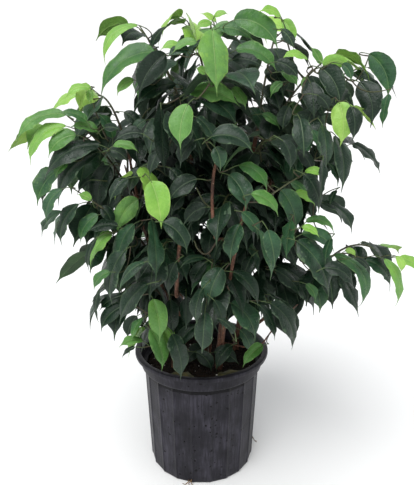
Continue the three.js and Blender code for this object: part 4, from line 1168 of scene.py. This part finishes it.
def hung_leaf(key, base, tip, wide, bend):
    """A leaf from its base to its tip, turned to look as wide as the picture shows it."""
    chord = tip - base
    reach = np.linalg.norm(chord)
    azimuth, pitch = math.atan2(chord[1], chord[0]), math.asin(chord[2] / reach)
    half_bend = math.radians(bend / 2)
    length = reach * half_bend / math.sin(half_bend)
    toward = CAMERA_PLACE - (base + tip) / 2
    seen = wide / FOCAL_PIXELS * np.linalg.norm(toward) / (2 * LEAF_HALF_WIDTH * length)
    ahead = chord / reach
    face = toward - ahead * toward.dot(ahead)
    face /= np.linalg.norm(face)
    aside = np.cross(ahead, face)
    turn = math.acos(min(max(seen, LEAST_SEEN), 1)) * (1 if aside[2] > 0 else -1)
    face = face * math.cos(turn) + aside * math.sin(turn)
    level = np.array([math.cos(azimuth), math.sin(azimuth), 0])
    left = np.array([-level[1], level[0], 0])
    above = math.cos(pitch) * np.array([0, 0, 1]) - math.sin(pitch) * level
    twist = vary(FRONT_TWIST, key + 8)
    leaf = {
        "root": np.zeros(3), "key": key, "azimuth": azimuth, "length": length,
        "stalk": STALK_LENGTH * vary(FRONT_STALK, key + 3), "stalk_pitch": pitch + half_bend + STALK_ARCH,
        "start_pitch": pitch + half_bend, "end_pitch": pitch - half_bend,
        "roll": math.atan2(-face.dot(left), face.dot(above)) - twist / 2, "twist": twist,
        "fold": math.radians(vary(FRONT_FOLD, key + 9)),
    }
    leaf["root"] = base - stalk_end(leaf)
    places = picture_place(leaf_card(leaf)[0])
    widest = np.linalg.norm(places[1] - places[9]) * vary(BLADE_GIRTH, key + 11)
    leaf["widen"] = min(max(wide / widest, WIDEN[0]), WIDEN[1])
    return leaf


def side_twig(leaf):
    """A bowed side twig to a leaf's stalk from a near twig or stem. One behind the leaf is
    chosen before one beside it, and one in front of it last."""
    points = np.concatenate(twig_lines)
    away = points - leaf["root"]
    cost = np.linalg.norm(away * REACH_COST, axis=1)
    cost += BEHIND_COST * np.maximum(BEHIND_GAP - away[:, 1], 0)
    start = points[np.argmin(cost)]
    reach = np.linalg.norm(leaf["root"] - start)
    inward = (CROWN_CENTRE - leaf["root"]) * [1, 1, 0]
    bow = leaf["root"] + reach * (0.5 * inward / np.linalg.norm(inward) - [0, 0, 0.15])
    t = np.linspace(0, 1, 5)[:, None]
    return start * (1 - t) ** 2 + bow * 2 * t * (1 - t) + leaf["root"] * t * t


def fits(card):
    """Whether a leaf stays within the plant's own size and cuts through no other leaf."""
    low, high = card[0].min(axis=0) - EDGE_MARGIN, card[0].max(axis=0) + EDGE_MARGIN
    return (low > low_corner).all() and (high < high_corner).all() and room.is_free(*card)


branches = Foliage()
for rows, radius in FRONT_BRANCHES:
    foot = sighted(rows[0][:2], rows[0][2])[0]
    path = [nearest(np.concatenate(twig_lines[: len(WOOD)]), foot), foot]
    for *pixel, y in rows[1:]:
        clear = min(y, depth_met(pixel) - BRANCH_GAP)
        path.append(sighted(pixel, max(clear, low_corner[1] + BRANCH_GAP))[0])
    twig_lines.append(branches.twig(path, 0.2, (radius, 0.7 * radius)))
    room.enter(branches.points[-1], (branches.quads[-1] - branches.quads[-1].min()).tolist())
piece = branches.piece("front_branches", [bark] * 3)
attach(piece, "root")

front = {"mature": Foliage(), "young": Foliage()}
sightlines = Room()
for y, pixels in FRONT_TWIGS:
    path = np.array([sighted(pixel, y)[0] for pixel in pixels])
    start = nearest(np.concatenate(twig_lines), path[0])
    twig_lines.append(front["mature"].twig([start, *path], 0.4, (1.7, 0.9)))

# A leaf hangs clear in front of what it covers, its tip nearer than its base. Where it would cut
# through another it comes forward step by step, and then once more with less of a bend.
for number, (base_pixel, tip_pixel, wide, age, bend) in enumerate(FRONT_LEAVES):
    pixels = [np.array(base_pixel) * (1 - t) + np.array(tip_pixel) * t for t in (0, 0.25, 0.5, 0.75, 1)]
    depths = [depth_met(pixel) for pixel in pixels]
    size = np.linalg.norm(pixels[-1] - pixels[0]) * PIXEL_SPAN
    base_y = min(min(depths[:3]), min(depths) + 0.3 * size) - LEAF_GAP
    tip_y = min(max(min(depths[2:]) - LEAF_GAP, base_y - 0.5 * size), base_y - 0.12 * size)
    for step in range(2 * FORWARD_TRIES):
        forward = FORWARD_STEP * (step % FORWARD_TRIES)
        base = sighted(base_pixel, max(base_y - forward, low_corner[1] + BASE_MARGIN))[0]
        tip = sighted(tip_pixel, max(tip_y - forward, low_corner[1] + TIP_MARGIN))[0]
        bent = bend if step < FORWARD_TRIES else 0.4 * bend
        leaf = hung_leaf(FRONT_KEYS + KEY_STEP * number, base, tip, wide, bent)
        card = leaf_card(leaf)
        if fits(card):
            room.enter(*card)
            sightlines.enter(np.array([CAMERA_PLACE, base, tip]), [(0, 1, 2)])
            grown = front["young" if age > 0.6 else "mature"]
            twig_lines.append(grown.twig(side_twig(leaf), 0.5, (1.1, 0.7)))
            grown.leaf(leaf, age)
            break

for kind, grown in front.items():
    piece = grown.piece(f"front_{kind}_leaves", leaf_skins)
    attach(piece, "root")

# The rest of the crown is the same sprays, packed closer inside and between the ones above.
# They are set by the same rule, and a leaf is set only where it cuts through no other leaf and
# hides none of the front ones. The crown is more open towards its left and right edges.
INNER_SPRAYS = 74
INNER_EDGES = (-118, 158)
INNER_LOWEST = 222
INNER_SEEDS = 200


def inner_spray(step):
    """A spray with its end inside the crown, spaced by the golden angle."""
    height = 0.93 - 1.8 * (step + 0.5) / INNER_SPRAYS
    depth = vary((0.72, 0.22), step * 5 + 3)
    return egg_spray(height, depth, step * GOLDEN_ANGLE + 1.2, lift=0.2, pitch=12, fewest=7)


inner = {}
for step in range(INNER_SPRAYS):
    spray = inner_spray(step)
    wood, _, end, _, leaves, _ = spray
    if not INNER_EDGES[0] < end[0] < INNER_EDGES[1]:
        continue
    joints = twig_joints(spray)
    grown = inner.setdefault(WOOD[wood].get("parent", wood), Foliage())
    line = grown.twig(joints, 0.2, (2, 1))
    for j in range(leaves):
        for go in range(LEAF_TRIES):
            leaf = leaf_of(joints, leaves, 0, INNER_SEEDS + step, j, go)
            card = leaf_card(leaf)
            if card[0][:, 2].min() > INNER_LOWEST and fits(card) and sightlines.is_free(*card):
                grown.leaf(leaf, leaf_age(leaf), fine=False, line=line)
                room.enter(*card)
                break

for stem, grown in sorted(inner.items()):
    piece = grown.piece(f"inner_leaves_of_stem_{stem + 1}", leaf_skins)
    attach(piece, "root")

# Two leaves have dropped onto the mix and are drying there. Their blades have withered to an
# olive brown and curled, and nothing holds them.
# Where a leaf's stalk lies on the soil, its turn in degrees and its length
DROPPED = [((-6, -80), 165, 60), ((26, -84), 34, 62)]
DROPPED_KEYS = 7000


def withered_skin():
    """A leaf's skin that has dried: olive and tan in cloudy patches, with little gloss left."""
    material, tree = new_material("withered_leaf_skin")
    place = add(tree, "TexCoord").outputs["Object"]
    blotch = add(tree, "TexNoise", Vector=place, Scale=1 / (12 * MM), Detail=4)
    olives = [(0.3, "#2a2a18"), (0.5, "#4a4a26"), (0.7, "#6e6535")]
    colour = add(tree, "ValToRGB", {"stops": olives}, Fac=blotch)
    add(tree, "OutputMaterial", Surface=add(tree, "BsdfPrincipled", Base_Color=colour, Roughness=0.7))
    return material


withered = withered_skin()
for number, (at, turn, length) in enumerate(DROPPED, 1):
    box_low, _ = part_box(f"dropped_leaf_{number}")
    fallen = Foliage()
    leaf = {
        "root": np.array([*at, 0.0]), "key": DROPPED_KEYS + number,
        "azimuth": math.radians(turn), "length": length, "stalk": 8, "stalk_pitch": 0,
        "start_pitch": math.radians(5), "end_pitch": math.radians(-7),
        "roll": 0, "twist": 0, "fold": math.radians(6),
    }
    fallen.leaf(leaf, 0.4)
    lowest = min(points[:, 2].min() for points in fallen.points)
    for points in fallen.points:
        points[:, 2] += box_low[2] / MM - lowest + 0.2
    piece = fallen.piece(f"fallen_leaf_{number}", [withered] * 4)
    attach(piece, "root")
    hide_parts(f"dropped_leaf_{number}")

# The plant stands on a plain painted floor in a pale studio. Light falls softly from the roof
# and from all round, and the plant is seen from standing height.
FLOOR_REACH = 20000
corners = [(x * FLOOR_REACH, y * FLOOR_REACH, 0) for x, y in ((-1, -1), (1, -1), (1, 1), (-1, 1))]
paint, paint_tree = new_material("pale_floor_paint")
matt_paint = add(paint_tree, "BsdfPrincipled", Base_Color=linear("#f8f8f7"), Roughness=0.8)
add(paint_tree, "OutputMaterial", Surface=matt_paint)
floor = mesh_object("floor", corners, [[(0, 1, 2, 3)]], [paint], smooth=False)

world = bpy.data.worlds.new("studio")
world.use_nodes = True
room_tree = world.node_tree
toward = add(room_tree, "SeparateXYZ", Vector=add(room_tree, "TexCoord").outputs["Generated"])
greys = {"stops": [(0, "#b0b1b3"), (0.3, "#ffffff")]}
walls = add(room_tree, "ValToRGB", greys, Fac=toward.outputs["Y"])
climb = add(room_tree, "MapRange", Value=toward.outputs["Z"], From_Min=0.05, From_Max=0.3)
sweep = add(room_tree, "Mix", {"data_type": "RGBA"}, Factor=climb, i6=linear("#ffffff"), i7=walls)
ceiling = add(room_tree, "MapRange", Value=toward.outputs["Z"], From_Min=0.34, From_Max=0.62)
glow = add(room_tree, "Mix", {"data_type": "RGBA"}, Factor=ceiling, i6=sweep, i7=linear("#bdbfc2"))
backdrop = room_tree.nodes["Background"]
room_tree.links.new(glow.outputs["Result"], backdrop.inputs["Color"])
backdrop.inputs["Strength"].default_value = 1.08
bpy.context.scene.world = world

sky = bpy.data.lights.new("roof_light", "SUN")
sky.energy = 2.6
sky.angle = math.radians(48)
roof = bpy.data.objects.new("roof_light", sky)
falling = Vector((0.35, 0.75, -1.25))
roof.rotation_euler = falling.to_track_quat("-Z", "Y").to_euler()
bpy.context.scene.collection.objects.link(roof)

lens = bpy.data.cameras.new("camera")
lens.sensor_fit = "VERTICAL"
lens.sensor_height = 36
lens.lens = lens.sensor_height * FOCAL_PIXELS / PICTURE_SIZE[1]
camera = bpy.data.objects.new("camera", lens)
camera.location = CAMERA_PLACE * MM
camera.rotation_euler = (math.radians(90 - CAMERA_TILT), 0, 0)
bpy.context.scene.collection.objects.link(camera)
bpy.context.scene.camera = camera
bpy.context.scene.view_settings.view_transform = "Standard"
